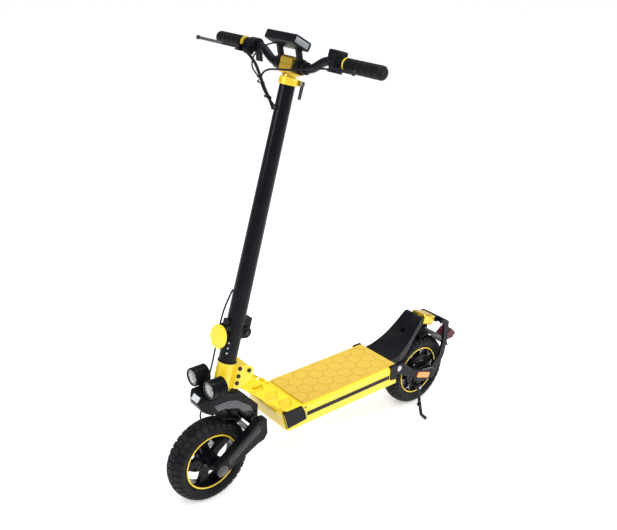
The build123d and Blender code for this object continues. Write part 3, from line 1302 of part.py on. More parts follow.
def bar_cables():
    """Cables from the controls on the bar to the front of the stem."""
    right = [
        (34, -166, GRIP_UP - 16),
        (38, -134, GRIP_UP - 26),
        (40, -96, GRIP_UP - 44),
        (42, -62, GRIP_UP - 74),
        (40, -34, GRIP_UP - 104),
        (32, -14, GRIP_UP - 126),
        (25, -5, GRIP_UP - 146),
    ]
    left = [
        (18, 164, GRIP_UP - 17.8),
        (34, 130, GRIP_UP - 22),
        (42, 94, GRIP_UP - 32),
        (50, 58, GRIP_UP - 41),
        (57, 20, GRIP_UP - 46),
        (60, -18, GRIP_UP - 52),
        (57, -42, GRIP_UP - 68),
        (51, -40, GRIP_UP - 94),
        (41, -12, GRIP_UP - 122),
        (25, 7, GRIP_UP - 140),
    ]
    return [steer_cord(right, BUNDLE_DIA), steer_cord(left, CABLE_DIA)]


def fork_cables():
    """The cable from the stem's foot down to the lamps."""
    top = along(FOLD_BASE_TOP_Z) + 96
    foot = along(NOSE_TOP_Z) + 4
    lamp = [
        (26.5, -8, top),
        (33, -12, top - 32),
        (36, -17, top - 66),
        (35, -20, top - 106),
        (35, -19, top - 148),
        (38, -14, top - 186),
        (42, -9, top - 224),
        (46, -7, foot + 9),
    ]
    return [steer_cord(lamp, CABLE_DIA)]


keep("bar_cables", bar_cables())
keep("fork_cables", fork_cables())

os.makedirs("parts", exist_ok=True)
for name, shape in NODES.items():
    export_step(shape, "parts/" + name + ".step")
print(len(NODES), "nodes")
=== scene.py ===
import math

import bmesh
import bpy
from mathutils import Matrix, Vector


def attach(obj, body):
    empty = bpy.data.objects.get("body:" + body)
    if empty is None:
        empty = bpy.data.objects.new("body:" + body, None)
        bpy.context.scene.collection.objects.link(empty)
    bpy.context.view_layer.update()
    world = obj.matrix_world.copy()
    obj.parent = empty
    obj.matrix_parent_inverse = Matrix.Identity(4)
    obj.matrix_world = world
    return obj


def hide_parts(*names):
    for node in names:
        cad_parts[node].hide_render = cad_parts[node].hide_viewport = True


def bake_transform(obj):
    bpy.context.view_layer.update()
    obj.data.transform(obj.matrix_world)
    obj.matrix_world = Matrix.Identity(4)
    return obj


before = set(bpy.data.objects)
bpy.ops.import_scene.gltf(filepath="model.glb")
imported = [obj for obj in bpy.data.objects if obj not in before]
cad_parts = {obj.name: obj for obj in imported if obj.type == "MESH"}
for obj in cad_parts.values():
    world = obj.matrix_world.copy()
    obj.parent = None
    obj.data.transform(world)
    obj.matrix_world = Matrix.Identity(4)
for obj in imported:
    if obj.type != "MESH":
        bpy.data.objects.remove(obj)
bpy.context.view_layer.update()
scene = bpy.context.scene
print("stage: frame loaded")

# The scooter's own measures, in metres. An axle is given by its X and Z.
bike = {
    "frontAxle": (0.4605, 0.1275),
    "rearAxle": (-0.3975, 0.1275),
    "steerX": 0.5,
    "rake": math.radians(13.9),
    "gripUp": 1.27747,
    "barUp": 1.24847,
    "splitUp": 0.54805,
}
steerCos = math.cos(bike["rake"])
steerSin = math.sin(bike["rake"])


def steerPoint(forward, side, up):
    return Vector((
        bike["steerX"] + forward * steerCos - up * steerSin,
        side,
        forward * steerSin + up * steerCos,
    ))


steerFrame = Matrix.Translation(steerPoint(0, 0, 0)) @ Matrix((
    (steerCos, 0, -steerSin, 0),
    (0, 1, 0, 0),
    (steerSin, 0, steerCos, 0),
    (0, 0, 0, 1),
))


def wheelFrame(axle):
    return Matrix.Translation((axle[0], 0, axle[1]))


# Shader groups shared by the materials.
def openGroup(name, inputs, outputs):
    tree = bpy.data.node_groups.new(name, "ShaderNodeTree")
    for label, kind, value in inputs:
        socket = tree.interface.new_socket(label, in_out="INPUT", socket_type=kind)
        if value is not None:
            socket.default_value = value
    for label, kind in outputs:
        tree.interface.new_socket(label, in_out="OUTPUT", socket_type=kind)
    return tree, tree.nodes.new("NodeGroupInput"), tree.nodes.new("NodeGroupOutput")


def addNode(tree, kind, links=None, **settings):
    node = tree.nodes.new(kind)
    for key, value in settings.items():
        setattr(node, key, value)
    for key, value in (links or {}).items():
        if isinstance(value, bpy.types.NodeSocket):
            tree.links.new(value, node.inputs[key])
        else:
            node.inputs[key].default_value = value
    return node


def math2(tree, operation, a, b=0.0, clamp=False):
    node = addNode(tree, "ShaderNodeMath", {0: a, 1: b}, operation=operation, use_clamp=clamp)
    return node.outputs[0]


def vector2(tree, operation, a, b=None):
    links = {0: a} if b is None else {0: a, 1: b}
    node = addNode(tree, "ShaderNodeVectorMath", links, operation=operation)
    return node.outputs["Value"] if operation in ("DOT_PRODUCT", "LENGTH") else node.outputs[0]


def ramp(tree, value, low, high, toLow=0.0, toHigh=1.0):
    links = {"Value": value, "From Min": low, "From Max": high, "To Min": toLow, "To Max": toHigh}
    return addNode(tree, "ShaderNodeMapRange", links, interpolation_type="SMOOTHSTEP").outputs["Result"]


def makeSoftEdges():
    tree, enter, leave = openGroup(
        "softEdges",
        [("Radius", "NodeSocketFloat", 0.001)],
        [("Normal", "NodeSocketVector"), ("Edge", "NodeSocketFloat")],
    )
    bevel = addNode(tree, "ShaderNodeBevel", {"Radius": enter.outputs["Radius"]}, samples=6)
    geometry = addNode(tree, "ShaderNodeNewGeometry")
    match = vector2(tree, "DOT_PRODUCT", bevel.outputs[0], geometry.outputs["Normal"])
    tree.links.new(bevel.outputs[0], leave.inputs["Normal"])
    tree.links.new(ramp(tree, match, 0.99, 0.72), leave.inputs["Edge"])
    return tree


def makeGrain():
    tree, enter, leave = openGroup(
        "grain",
        [
            ("Scale", "NodeSocketFloat", 400.0),
            ("Height", "NodeSocketFloat", 0.0002),
            ("Normal", "NodeSocketVector", None),
        ],
        [("Normal", "NodeSocketVector"), ("Value", "NodeSocketFloat")],
    )
    coords = addNode(tree, "ShaderNodeTexCoord")
    links = {"Vector": coords.outputs["Object"], "Scale": enter.outputs["Scale"], "Detail": 3.0}
    noise = addNode(tree, "ShaderNodeTexNoise", links)
    links = {
        "Height": noise.outputs["Fac"],
        "Distance": enter.outputs["Height"],
        "Normal": enter.outputs["Normal"],
        "Strength": 1.0,
    }
    bump = addNode(tree, "ShaderNodeBump", links)
    tree.links.new(bump.outputs[0], leave.inputs["Normal"])
    tree.links.new(noise.outputs["Fac"], leave.inputs["Value"])
    return tree


def makeDust():
    tree, enter, leave = openGroup(
        "dust",
        [("Scale", "NodeSocketFloat", 14.0)],
        [("Dust", "NodeSocketFloat"), ("Smear", "NodeSocketFloat")],
    )
    coords = addNode(tree, "ShaderNodeTexCoord")
    links = {
        "Vector": coords.outputs["Object"],
        "Scale": enter.outputs["Scale"],
        "Detail": 6.0,
        "Roughness": 0.65,
    }
    patch = addNode(tree, "ShaderNodeTexNoise", links).outputs["Fac"]
    stretched = vector2(tree, "MULTIPLY", coords.outputs["Object"], (3.0, 3.0, 22.0))
    links = {"Vector": stretched, "Scale": 3.0, "Detail": 5.0}
    smear = addNode(tree, "ShaderNodeTexNoise", links).outputs["Fac"]
    up = addNode(
        tree, "ShaderNodeSeparateXYZ", {0: addNode(tree, "ShaderNodeNewGeometry").outputs["Normal"]},
    )
    level = ramp(tree, up.outputs["Z"], 0.2, 1.0, 0.35, 1.0)
    tree.links.new(math2(tree, "MULTIPLY", ramp(tree, patch, 0.42, 0.72), level), leave.inputs["Dust"])
    tree.links.new(ramp(tree, smear, 0.35, 0.7), leave.inputs["Smear"])
    return tree


def makeHexCells():
    tree, enter, leave = openGroup(
        "hexCells",
        [
            ("Vector", "NodeSocketVector", None),
            ("Size", "NodeSocketFloat", 0.016),
            ("Groove", "NodeSocketFloat", 0.08),
        ],
        [("Groove", "NodeSocketFloat"), ("Rise", "NodeSocketFloat")],
    )
    cells = math2(tree, "DIVIDE", 1.0, enter.outputs["Size"])
    links = {0: enter.outputs["Vector"], "Scale": cells}
    scaled = addNode(tree, "ShaderNodeVectorMath", links, operation="SCALE").outputs[0]
    tall = math.sqrt(3)
    shifted = vector2(tree, "ADD", scaled, (200.0, 200.0 * tall, 0.0))  # keeps every place positive
    shifted = vector2(tree, "MULTIPLY", shifted, (1.0, 1.0, 0.0))
    pitch = (1.0, tall, 1.0)
    half = (0.5, tall / 2, 0.0)
    first = vector2(tree, "SUBTRACT", vector2(tree, "MODULO", shifted, pitch), half)
    second = vector2(
        tree, "SUBTRACT", vector2(tree, "MODULO", vector2(tree, "ADD", shifted, half), pitch), half,
    )
    nearer = math2(tree, "LESS_THAN", vector2(tree, "LENGTH", first), vector2(tree, "LENGTH", second))
    chosen = addNode(tree, "ShaderNodeMix", data_type="VECTOR")
    tree.links.new(nearer, chosen.inputs["Factor"])
    tree.links.new(second, chosen.inputs[4])
    tree.links.new(first, chosen.inputs[5])
    folded = vector2(tree, "ABSOLUTE", chosen.outputs[1])
    slanted = vector2(tree, "DOT_PRODUCT", folded, half)
    across = vector2(tree, "DOT_PRODUCT", folded, (1.0, 0.0, 0.0))
    reach = math2(tree, "MAXIMUM", slanted, across)
    start = math2(tree, "SUBTRACT", 0.5, enter.outputs["Groove"])
    tree.links.new(ramp(tree, reach, start, 0.5), leave.inputs["Groove"])
    tree.links.new(ramp(tree, reach, 0.0, 0.5, 1.0, 0.0), leave.inputs["Rise"])
    return tree


groups = {
    "softEdges": makeSoftEdges(),
    "grain": makeGrain(),
    "dust": makeDust(),
    "hexCells": makeHexCells(),
}


def useGroup(tree, name, **links):
    node = tree.nodes.new("ShaderNodeGroup")
    node.node_tree = groups[name]
    for key, value in links.items():
        if isinstance(value, bpy.types.NodeSocket):
            tree.links.new(value, node.inputs[key])
        else:
            node.inputs[key].default_value = value
    return node.outputs


def mixColour(tree, factor, first, second):
    node = addNode(tree, "ShaderNodeMix", data_type="RGBA")
    for index, value in ((0, factor), (6, first), (7, second)):
        if isinstance(value, bpy.types.NodeSocket):
            tree.links.new(value, node.inputs[index])
        elif index == 0:
            node.inputs[index].default_value = value
        else:
            node.inputs[index].default_value = (*value, 1.0)
    return node.outputs[2]


surfaces = {}


def makeSurface(name, colour, rough, metal=0.0, grain=(500.0, 0.0001), edge=0.0008, wearAndEdgeHighlight=None,
                dusty=0.02, coat=0.0, pattern=None, patternDepth=0.0, patternAndPaintedLightColour=None,
                transmission=0.0, specular=0.5, emission=None):
    material = bpy.data.materials.new(name)
    material.use_nodes = True
    tree = material.node_tree
    shader = tree.nodes["Principled BSDF"]
    soft = useGroup(tree, "softEdges", Radius=edge)
    fine = useGroup(tree, "grain", Scale=grain[0], Height=grain[1], Normal=soft["Normal"])
    dust = useGroup(tree, "dust")
    normal = fine["Normal"]
    tint = mixColour(
        tree, math2(tree, "MULTIPLY", fine["Value"], 0.35), colour, [c * 0.86 for c in colour],
    )
    if pattern:
        mask = pattern(tree)
        # The pattern colour is a real pattern on the weave and the brushed disc, and painted light
        # elsewhere: painted shade in the hex grooves and painted glints on the reflector cells.
        if patternAndPaintedLightColour:
            tint = mixColour(tree, mask, tint, patternAndPaintedLightColour)
        if patternDepth:
            # A positive depth sinks the mask, and a negative one raises it.
            links = {"Height": mask, "Distance": abs(patternDepth), "Normal": normal, "Strength": 1.0}
            normal = addNode(tree, "ShaderNodeBump", links, invert=patternDepth > 0).outputs[0]
    # Every edge is mixed toward a lighter colour: partly wear, partly a painted highlight along the
    # edges.
    if wearAndEdgeHighlight:
        tint = mixColour(tree, math2(tree, "MULTIPLY", soft["Edge"], 0.55), tint, wearAndEdgeHighlight)
    tint = mixColour(tree, math2(tree, "MULTIPLY", dust["Dust"], dusty), tint, (0.42, 0.40, 0.37))
    tree.links.new(tint, shader.inputs["Base Color"])
    roughness = math2(tree, "ADD", math2(tree, "MULTIPLY", dust["Smear"], 0.10), rough - 0.03)
    roughness = math2(tree, "ADD", roughness, math2(tree, "MULTIPLY", dust["Dust"], 0.12), clamp=True)
    tree.links.new(roughness, shader.inputs["Roughness"])
    tree.links.new(normal, shader.inputs["Normal"])
    shader.inputs["Metallic"].default_value = metal
    shader.inputs["Coat Weight"].default_value = coat
    shader.inputs["Coat Roughness"].default_value = 0.12
    shader.inputs["Transmission Weight"].default_value = transmission
    shader.inputs["Specular IOR Level"].default_value = specular
    if emission:
        shader.inputs["Emission Color"].default_value = (*emission[0], 1.0)
        shader.inputs["Emission Strength"].default_value = emission[1]
    surfaces[name] = material


def planePattern(across, along, facing=None, size=0.016, groove=0.08, output="Groove"):
    def build(tree):
        coords = addNode(tree, "ShaderNodeTexCoord").outputs["Object"]
        flat = addNode(tree, "ShaderNodeCombineXYZ", {
            "X": vector2(tree, "DOT_PRODUCT", coords, across),
            "Y": vector2(tree, "DOT_PRODUCT", coords, along),
        }).outputs[0]
        mask = useGroup(tree, "hexCells", Vector=flat, Size=size, Groove=groove)[output]
        if facing:
            normal = addNode(tree, "ShaderNodeNewGeometry").outputs["Normal"]
            toward = ramp(tree, vector2(tree, "DOT_PRODUCT", normal, facing), 0.8, 0.95)
            mask = math2(tree, "MULTIPLY", mask, toward)
        return mask
    return build


def weavePattern(tree):
    # A two by two twill laid slantwise in the X and Z plane.
    coords = addNode(tree, "ShaderNodeTexCoord").outputs["Object"]
    tows = 1 / 0.0024
    slant = 0.7071
    warp = math2(tree, "MULTIPLY", vector2(tree, "DOT_PRODUCT", coords, (slant, 0, slant)), tows)
    weft = math2(tree, "MULTIPLY", vector2(tree, "DOT_PRODUCT", coords, (-slant, 0, slant)), tows)
    step = math2(tree, "ADD", math2(tree, "FLOOR", warp), math2(tree, "FLOOR", weft))
    return math2(tree, "LESS_THAN", math2(tree, "FLOORED_MODULO", step, 4.0), 1.5)


def brushedRing(tree):
    coords = addNode(tree, "ShaderNodeTexCoord").outputs["Object"]
    centred = vector2(tree, "SUBTRACT", coords, (bike["frontAxle"][0], 0.0, bike["frontAxle"][1]))
    reach = vector2(tree, "LENGTH", vector2(tree, "MULTIPLY", centred, (1.0, 0.0, 1.0)))
    outward = addNode(tree, "ShaderNodeCombineXYZ", {"X": reach}).outputs[0]
    return addNode(
        tree, "ShaderNodeTexNoise", {"Vector": outward, "Scale": 2500.0, "Detail": 2.0},
    ).outputs["Fac"]


kickNormal = (0.574, 0.0, 0.819)  # out of the kickplate's slope
kickUp = (-0.819, 0.0, 0.574)
# The lighter edge colours given below are partly wear and partly a painted highlight along the edges.
makeSurface(
    "yellowPaint", (0.95, 0.69, 0.010), 0.34, grain=(900.0, 0.00004), wearAndEdgeHighlight=(0.96, 0.74, 0.10), coat=0.35,
    edge=0.0014,
)
makeSurface(
    "blackPaint", (0.0042, 0.0046, 0.0066), 0.22, specular=0.13, grain=(1100.0, 0.00005),
    wearAndEdgeHighlight=(0.045, 0.047, 0.054), edge=0.0012,
)
makeSurface(
    "blackPlastic", (0.0045, 0.0048, 0.0064), 0.30, specular=0.13, grain=(1500.0, 0.00009),
    wearAndEdgeHighlight=(0.022, 0.023, 0.027), edge=0.0012,
)
makeSurface("glossBlack", (0.005, 0.0055, 0.007), 0.16, grain=(700.0, 0.00002), coat=0.5, edge=0.0008)
makeSurface(
    "tyreRubber", (0.0062, 0.0068, 0.0088), 0.46, specular=0.13, grain=(900.0, 0.00025), dusty=0.05,
    edge=0.0006,
)
makeSurface(
    "gripRubber", (0.005, 0.005, 0.006), 0.48, specular=0.15, grain=(1200.0, 0.00018), edge=0.0005,
)
# The mat's hex grooves are coloured darker than the mat: painted shade in the grooves.
makeSurface("yellowMat", (0.74, 0.49, 0.050), 0.62, grain=(1400.0, 0.00016), edge=0.001, dusty=0.03,
            pattern=planePattern((0, 1, 0), (1, 0, 0), facing=(0, 0, 1), size=0.047, groove=0.022),
            patternDepth=0.0010, patternAndPaintedLightColour=(0.50, 0.31, 0.02))
# The kickplate's hex grooves are coloured darker than the plate: painted shade in the grooves.
makeSurface(
    "kickplatePaint", (0.0040, 0.0044, 0.0066), 0.30, specular=0.12, grain=(1100.0, 0.00006),
    wearAndEdgeHighlight=(0.04, 0.042, 0.048), edge=0.0015,
    pattern=planePattern((0, 1, 0), kickUp, facing=kickNormal, size=0.040, groove=0.035),
    patternDepth=0.0011, patternAndPaintedLightColour=(0.0025, 0.0025, 0.003),
)
# The ribs get a lighter, glossier copy of the cover's black plastic: a painted highlight on the ribs.
makeSurface("ribPlasticPaintedHighlight", (0.016, 0.017, 0.022), 0.24, grain=(900.0, 0.00003), coat=0.4, edge=0.0006)
makeSurface(
    "carbonWeave", (0.012, 0.0125, 0.015), 0.30, metal=0.35, grain=(2600.0, 0.00006), coat=0.6,
    edge=0.0006, pattern=weavePattern, patternDepth=0.00025, patternAndPaintedLightColour=(0.085, 0.088, 0.098),
)
makeSurface(
    "goldMetal", (0.83, 0.56, 0.07), 0.30, metal=0.85, grain=(900.0, 0.00004), wearAndEdgeHighlight=(0.95, 0.78, 0.32),
    edge=0.0008,
)
makeSurface(
    "goldPaint", (0.93, 0.66, 0.03), 0.30, metal=0.2, grain=(900.0, 0.00004), wearAndEdgeHighlight=(1.0, 0.85, 0.35),
    edge=0.0006,
)
makeSurface(
    "steel", (0.50, 0.50, 0.52), 0.30, metal=1.0, grain=(1600.0, 0.00004), wearAndEdgeHighlight=(0.8, 0.8, 0.8),
    edge=0.0005,
)
makeSurface(
    "discSteel", (0.42, 0.42, 0.44), 0.28, metal=1.0, pattern=brushedRing, patternDepth=0.00004,
    patternAndPaintedLightColour=(0.30, 0.30, 0.32),
)
makeSurface(
    "darkSteel", (0.028, 0.029, 0.033), 0.32, metal=0.9, grain=(1500.0, 0.00005), wearAndEdgeHighlight=(0.12, 0.12, 0.13),
    edge=0.0006,
)
makeSurface("silverPlastic", (0.44, 0.46, 0.49), 0.32, metal=0.55, grain=(1400.0, 0.00005), edge=0.0004)
makeSurface(
    "lampReflector", (0.82, 0.82, 0.80), 0.16, metal=0.95, grain=(400.0, 0.0001), edge=0.0006, dusty=0.0,
)
makeSurface(
    "lampLens", (0.93, 0.92, 0.88), 0.06, grain=(500.0, 0.00008), transmission=0.92, edge=0.0004,
    dusty=0.02,
)
makeSurface(
    "ledYellow", (0.95, 0.86, 0.55), 0.35, grain=(900.0, 0.00005), edge=0.0003,
    emission=((1.0, 0.93, 0.72), 0.35),
)
# The raised centre of each prism cell is coloured lighter orange: a painted glint on the cells.
makeSurface(
    "amberReflector", (0.95, 0.27, 0.012), 0.14, grain=(500.0, 0.00003), coat=0.6, edge=0.0008,
    pattern=planePattern((1, 0, 0), (0, 0, 1), size=0.0032, groove=0.30, output="Rise"),
    patternDepth=-0.0005, patternAndPaintedLightColour=(1.0, 0.45, 0.05),
)
# The raised centre of each prism cell is coloured near white: a painted glint on the cells.
makeSurface(
    "whiteReflector", (0.66, 0.68, 0.71), 0.14, metal=0.4, grain=(500.0, 0.00003), coat=0.6, edge=0.0008,
    pattern=planePattern((0, 1, 0), (0, 0, 1), size=0.0032, groove=0.30, output="Rise"),
    patternDepth=-0.0005, patternAndPaintedLightColour=(0.9, 0.92, 0.95),
)
makeSurface("stripLens", (0.006, 0.006, 0.008), 0.14, specular=0.2, grain=(600.0, 0.00003), edge=0.0006)
# The raised centre of each lens cell is coloured brighter red: a painted glint on the cells.
makeSurface(
    "redLens", (0.045, 0.004, 0.006), 0.16, specular=0.2, grain=(600.0, 0.00004), edge=0.0008,
    pattern=planePattern((0, 1, 0), (0, 0, 1), size=0.004, groove=0.30, output="Rise"),
    patternDepth=-0.0005, patternAndPaintedLightColour=(0.16, 0.012, 0.012),
)
makeSurface("screenGlass", (0.008, 0.009, 0.012), 0.08, grain=(300.0, 0.00001), coat=0.7, edge=0.0006)
makeSurface("batteryWrap", (0.05, 0.12, 0.35), 0.5)
makeSurface("machinedEdge", (0.60, 0.61, 0.64), 0.24, metal=1.0, grain=(2200.0, 0.00003), edge=0.0003)
makeSurface("rimYellow", (0.93, 0.66, 0.02), 0.34, grain=(900.0, 0.00004), coat=0.3, edge=0.0005)
print("stage: surfaces made")

nodeSurfaces = {
    "deck_frame": "yellowPaint", "side_light_strips": "stripLens", "deck_mat": "yellowMat",
    "corner_caps": "blackPlastic", "nose_panel": "yellowPaint", "battery_pack": "batteryWrap",
    "neck_plates": "yellowPaint", "neck_bolts": "darkSteel", "head_tube": "yellowPaint",
    "kickplate": "kickplatePaint", "fork_neck": "blackPaint", "fork_cover": "blackPlastic",
    "headlight_housings": "blackPaint", "headlight_lenses": "lampLens",
    "front_reflector": "whiteReflector", "fold_base": "blackPaint", "fold_pins": "darkSteel",
    "fork_cables": "gripRubber", "front_arms": "blackPaint", "front_arm_covers": "blackPlastic",
    "front_axle": "darkSteel", "brake_caliper": "blackPaint", "front_mudguard": "blackPlastic",
    "fork_pivot_pin": "steel", "front_tyre": "tyreRubber", "front_rim": "blackPaint",
    "front_brake_disc": "discSteel", "stem_foot": "blackPaint", "stem_tube": "blackPaint",
    "height_collar": "goldPaint", "skewer": "steel", "latch_lever": "blackPaint",
    "latch_pad": "yellowPaint", "quick_release_lever": "glossBlack", "inner_tube": "blackPaint",
    "bar_clamp": "goldMetal", "handlebar": "blackPaint", "grips": "gripRubber", "grip_rings": "goldPaint",
    "lever_perches": "blackPaint", "switch_pod": "blackPlastic", "throttle_housing": "blackPlastic",
    "display_housing": "blackPlastic", "display_screen": "screenGlass", "bar_cables": "gripRubber",
    "brake_lever_left": "darkSteel", "brake_lever_right": "darkSteel", "throttle_paddle": "blackPlastic",
    "horn_button": "glossBlack", "rear_arm": "blackPaint", "rear_pin": "steel", "rear_axle": "darkSteel",
    "rear_mudguard": "blackPlastic", "tail_light": "redLens", "side_reflectors": "amberReflector",
    "rear_tyre": "tyreRubber", "rear_motor_wheel": "blackPaint", "kickstand_leg": "darkSteel",
    "shock_tube": "goldMetal", "shock_rod": "steel",
}
for nodeName, surfaceName in nodeSurfaces.items():
    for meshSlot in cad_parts[nodeName].material_slots:
        meshSlot.material = surfaces[surfaceName]
print("stage: CAD nodes surfaced")


# Pieces.
def newPiece(name, mesh, body, surface, hides=(), smoothAngle=35.0):
    piece = bpy.data.objects.new(name, mesh)
    scene.collection.objects.link(piece)
    mesh.materials.clear()
    mesh.materials.append(surfaces[surface])
    if smoothAngle:
        mesh.shade_smooth()
        mesh.set_sharp_from_angle(angle=math.radians(smoothAngle))
    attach(piece, body)
    if hides:
        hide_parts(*hides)
    return piece


def finishMesh(name, build):
    bmesh.ops.recalc_face_normals(build, faces=build.faces)
    mesh = bpy.data.meshes.new(name)
    build.to_mesh(mesh)
    build.free()
    return mesh


def addCylinder(build, radius, depth, place, sides=32, bevel=0.0):
    made = bmesh.ops.create_cone(
        build, cap_ends=True, segments=sides, radius1=radius, radius2=radius, depth=depth, matrix=place,
    )
    if bevel:
        rims = {
            e for v in made["verts"] for e in v.link_edges if any(len(f.verts) > 4 for f in e.link_faces)
        }
        bmesh.ops.bevel(build, geom=list(rims), offset=bevel, segments=2, affect="EDGES", profile=0.5)


def addBox(build, low, high, place=None, bevel=0.0):
    low, high = Vector(low), Vector(high)
    size = Matrix.Diagonal((*(high - low), 1.0))
    middle = Matrix.Translation((low + high) / 2)
    made = bmesh.ops.create_cube(build, size=1.0, matrix=(place or Matrix()) @ middle @ size)
    if bevel:
        edges = list({e for v in made["verts"] for e in v.link_edges})
        bmesh.ops.bevel(build, geom=edges, offset=bevel, segments=2, affect="EDGES", profile=0.5)


def addRevolved(build, profile, steps, place):
    # The profile is a closed list of (reach, along) pairs, turned about the place's Y axis.
    rings = []
    for step in range(steps):
        angle = 2 * math.pi * step / steps
        turned = [Vector((r * math.cos(angle), y, r * math.sin(angle))) for r, y in profile]
        rings.append([build.verts.new(place @ spot) for spot in turned])
    count = len(profile)
    for step in range(steps):
        here, there = rings[step], rings[(step + 1) % steps]
        for index in range(count):
            nxt = (index + 1) % count
            build.faces.new((here[index], here[nxt], there[nxt], there[index]))


alongY = Matrix.Rotation(math.radians(-90), 4, "X")
alongX = Matrix.Rotation(math.radians(90), 4, "Y")

tyreForm = {
    "reach": 0.1270,
    "beadReach": 0.0865,
    "halfWidth": 0.0336,
    "wrap": math.radians(152),
    "shoulderLift": 0.0021,
    "treadEnd": math.radians(86),
    "treadFade": math.radians(9),
    "columnStep": 0.0016,
    "ringGroove": 0.0016,
    "lean": 0.30,
    "outerLean": 0.16,
    "pitches": 36,
    "depth": 0.0042,
    "centreColumn": 0.0125,
    "grooveWidth": 0.0040,
    "steps": 1140,
    "across": 46,
}


def tyreSection(share):
    # Reach and side offset around the section, from one bead over the tread to the other.
    span = tyreForm["reach"] - tyreForm["beadReach"]
    turn = (share - 0.5) * 2
    bend = turn * tyreForm["wrap"]
    side = tyreForm["halfWidth"] * math.sin(bend)
    crown = tyreForm["beadReach"] + span * (0.45 + 0.55 * math.cos(bend))  # the widest place is 45 % up
    width = abs(side) / tyreForm["halfWidth"]
    flatter = tyreForm["shoulderLift"] * width ** 2 * (1 if abs(bend) < math.pi / 2 else 0)
    return crown + flatter, side, bend


def treadDrop(angle, side, bend):
    reach = abs(bend)
    if reach > tyreForm["treadEnd"]:
        return 0.0
    pitch = 2 * math.pi / tyreForm["pitches"]
    phase = angle / pitch
    half = tyreForm["grooveWidth"] / (pitch * tyreForm["reach"]) / 2
    offset = abs(side)
    column = tyreForm["centreColumn"] + tyreForm["columnStep"] * (1 if (phase % 1) < 0.5 else -1)
    if offset < column:
        wedge = phase + tyreForm["lean"] * offset / tyreForm["centreColumn"]
    else:
        wedge = phase + 0.5 + tyreForm["outerLean"] * (offset - column) / tyreForm["centreColumn"]
    away = abs((wedge + 0.5) % 1 - 0.5)
    cross = max(0.0, min(1.0, (half * 1.5 - away) / (half * 0.5)))
    line = max(0.0, min(1.0, (tyreForm["ringGroove"] - abs(offset - column)) / 0.0006))
    notch = 0.0
    if offset < column * 0.45:
        slit = abs(wedge % 1 - 0.5)
        notch = 0.45 * max(0.0, min(1.0, (half * 0.8 - slit) / (half * 0.4)))
    fade = min(1.0, (tyreForm["treadEnd"] - reach) / tyreForm["treadFade"])
    return tyreForm["depth"] * max(cross, line, notch) * fade


def makeTyre(name, axle, body, node):
    build = bmesh.new()
    steps, across = tyreForm["steps"], tyreForm["across"]
    rings = []
    for step in range(steps):
        angle = 2 * math.pi * step / steps
        row = []
        for index in range(across + 1):
            reach, side, bend = tyreSection(index / across)
            reach -= treadDrop(angle, side, bend)
            spot = (axle[0] + reach * math.cos(angle), side, axle[1] + reach * math.sin(angle))
            row.append(build.verts.new(spot))
        rings.append(row)
    for step in range(steps):
        here, there = rings[step], rings[(step + 1) % steps]
        for index in range(across):
            build.faces.new((here[index], here[index + 1], there[index + 1], there[index]))
        build.faces.new((here[across], here[0], there[0], there[across]))
    mesh = finishMesh(name, build)
    newPiece(name, mesh, body, "tyreRubber", hides=(node,), smoothAngle=28.0)


makeTyre("frontTread", bike["frontAxle"], "front_wheel", "front_tyre")
makeTyre("rearTread", bike["rearAxle"], "rear_wheel", "rear_tyre")
print("stage: tyres made")


rimRing = {"inner": 0.0812, "outer": 0.0860, "slope": 0.0006, "sideY": 0.0238, "rise": 0.0010}


def makeRimRing(name, axle, body):
    form = rimRing
    build = bmesh.new()
    inner, outer, slope = form["inner"], form["outer"], form["slope"]
    for way in (-1, 1):
        low, high = form["sideY"] * way, (form["sideY"] + form["rise"]) * way
        profile = [(inner, low), (inner + slope, high), (outer - slope, high), (outer, low)]
        addRevolved(build, profile, 128, wheelFrame(axle))
    newPiece(name, finishMesh(name, build), body, "rimYellow")


makeRimRing("frontRimRing", bike["frontAxle"], "front_wheel")
makeRimRing("rearRimRing", bike["rearAxle"], "rear_wheel")


# Cables. A route's points are forward of the steering axis, to the side, and up along the axis.
gripUp, splitUp = bike["gripUp"], bike["splitUp"]
noseUp = 0.35 / steerCos
cableRoutes = {
    "rightBarCable": {
        "points": [
            (0.034, -0.166, gripUp - 0.016), (0.038, -0.134, gripUp - 0.026),
            (0.040, -0.096, gripUp - 0.044), (0.042, -0.062, gripUp - 0.074),
            (0.040, -0.034, gripUp - 0.104), (0.032, -0.014, gripUp - 0.126),
            (0.025, -0.005, gripUp - 0.146),
        ],
        "diameter": 0.008, "hides": ("bar_cables",), "bodies": ("mast", "stem"), "from": gripUp - 0.075,
        "to": gripUp - 0.140,
    },
    "leftBarCable": {
        "points": [
            (0.018, 0.164, gripUp - 0.0178), (0.034, 0.130, gripUp - 0.022),
            (0.042, 0.094, gripUp - 0.032), (0.050, 0.058, gripUp - 0.041),
            (0.057, 0.020, gripUp - 0.046), (0.060, -0.018, gripUp - 0.052),
            (0.057, -0.042, gripUp - 0.068), (0.051, -0.040, gripUp - 0.094),
            (0.041, -0.012, gripUp - 0.122), (0.025, 0.007, gripUp - 0.140),
        ],
        "diameter": 0.005, "hides": (), "bodies": ("mast", "stem"), "from": gripUp - 0.075,
        "to": gripUp - 0.136,
    },
    "lampCable": {
        "points": [
            (0.0265, -0.008, splitUp + 0.096), (0.033, -0.012, splitUp + 0.064),
            (0.036, -0.017, splitUp + 0.030), (0.035, -0.020, splitUp - 0.010),
            (0.035, -0.019, splitUp - 0.052), (0.038, -0.014, splitUp - 0.090),
            (0.042, -0.009, splitUp - 0.128), (0.046, -0.007, noseUp + 0.013),
        ],
        "diameter": 0.005, "hides": ("fork_cables",), "bodies": ("stem", "fork"), "from": splitUp + 0.070,
        "to": splitUp - 0.060,
    },
}


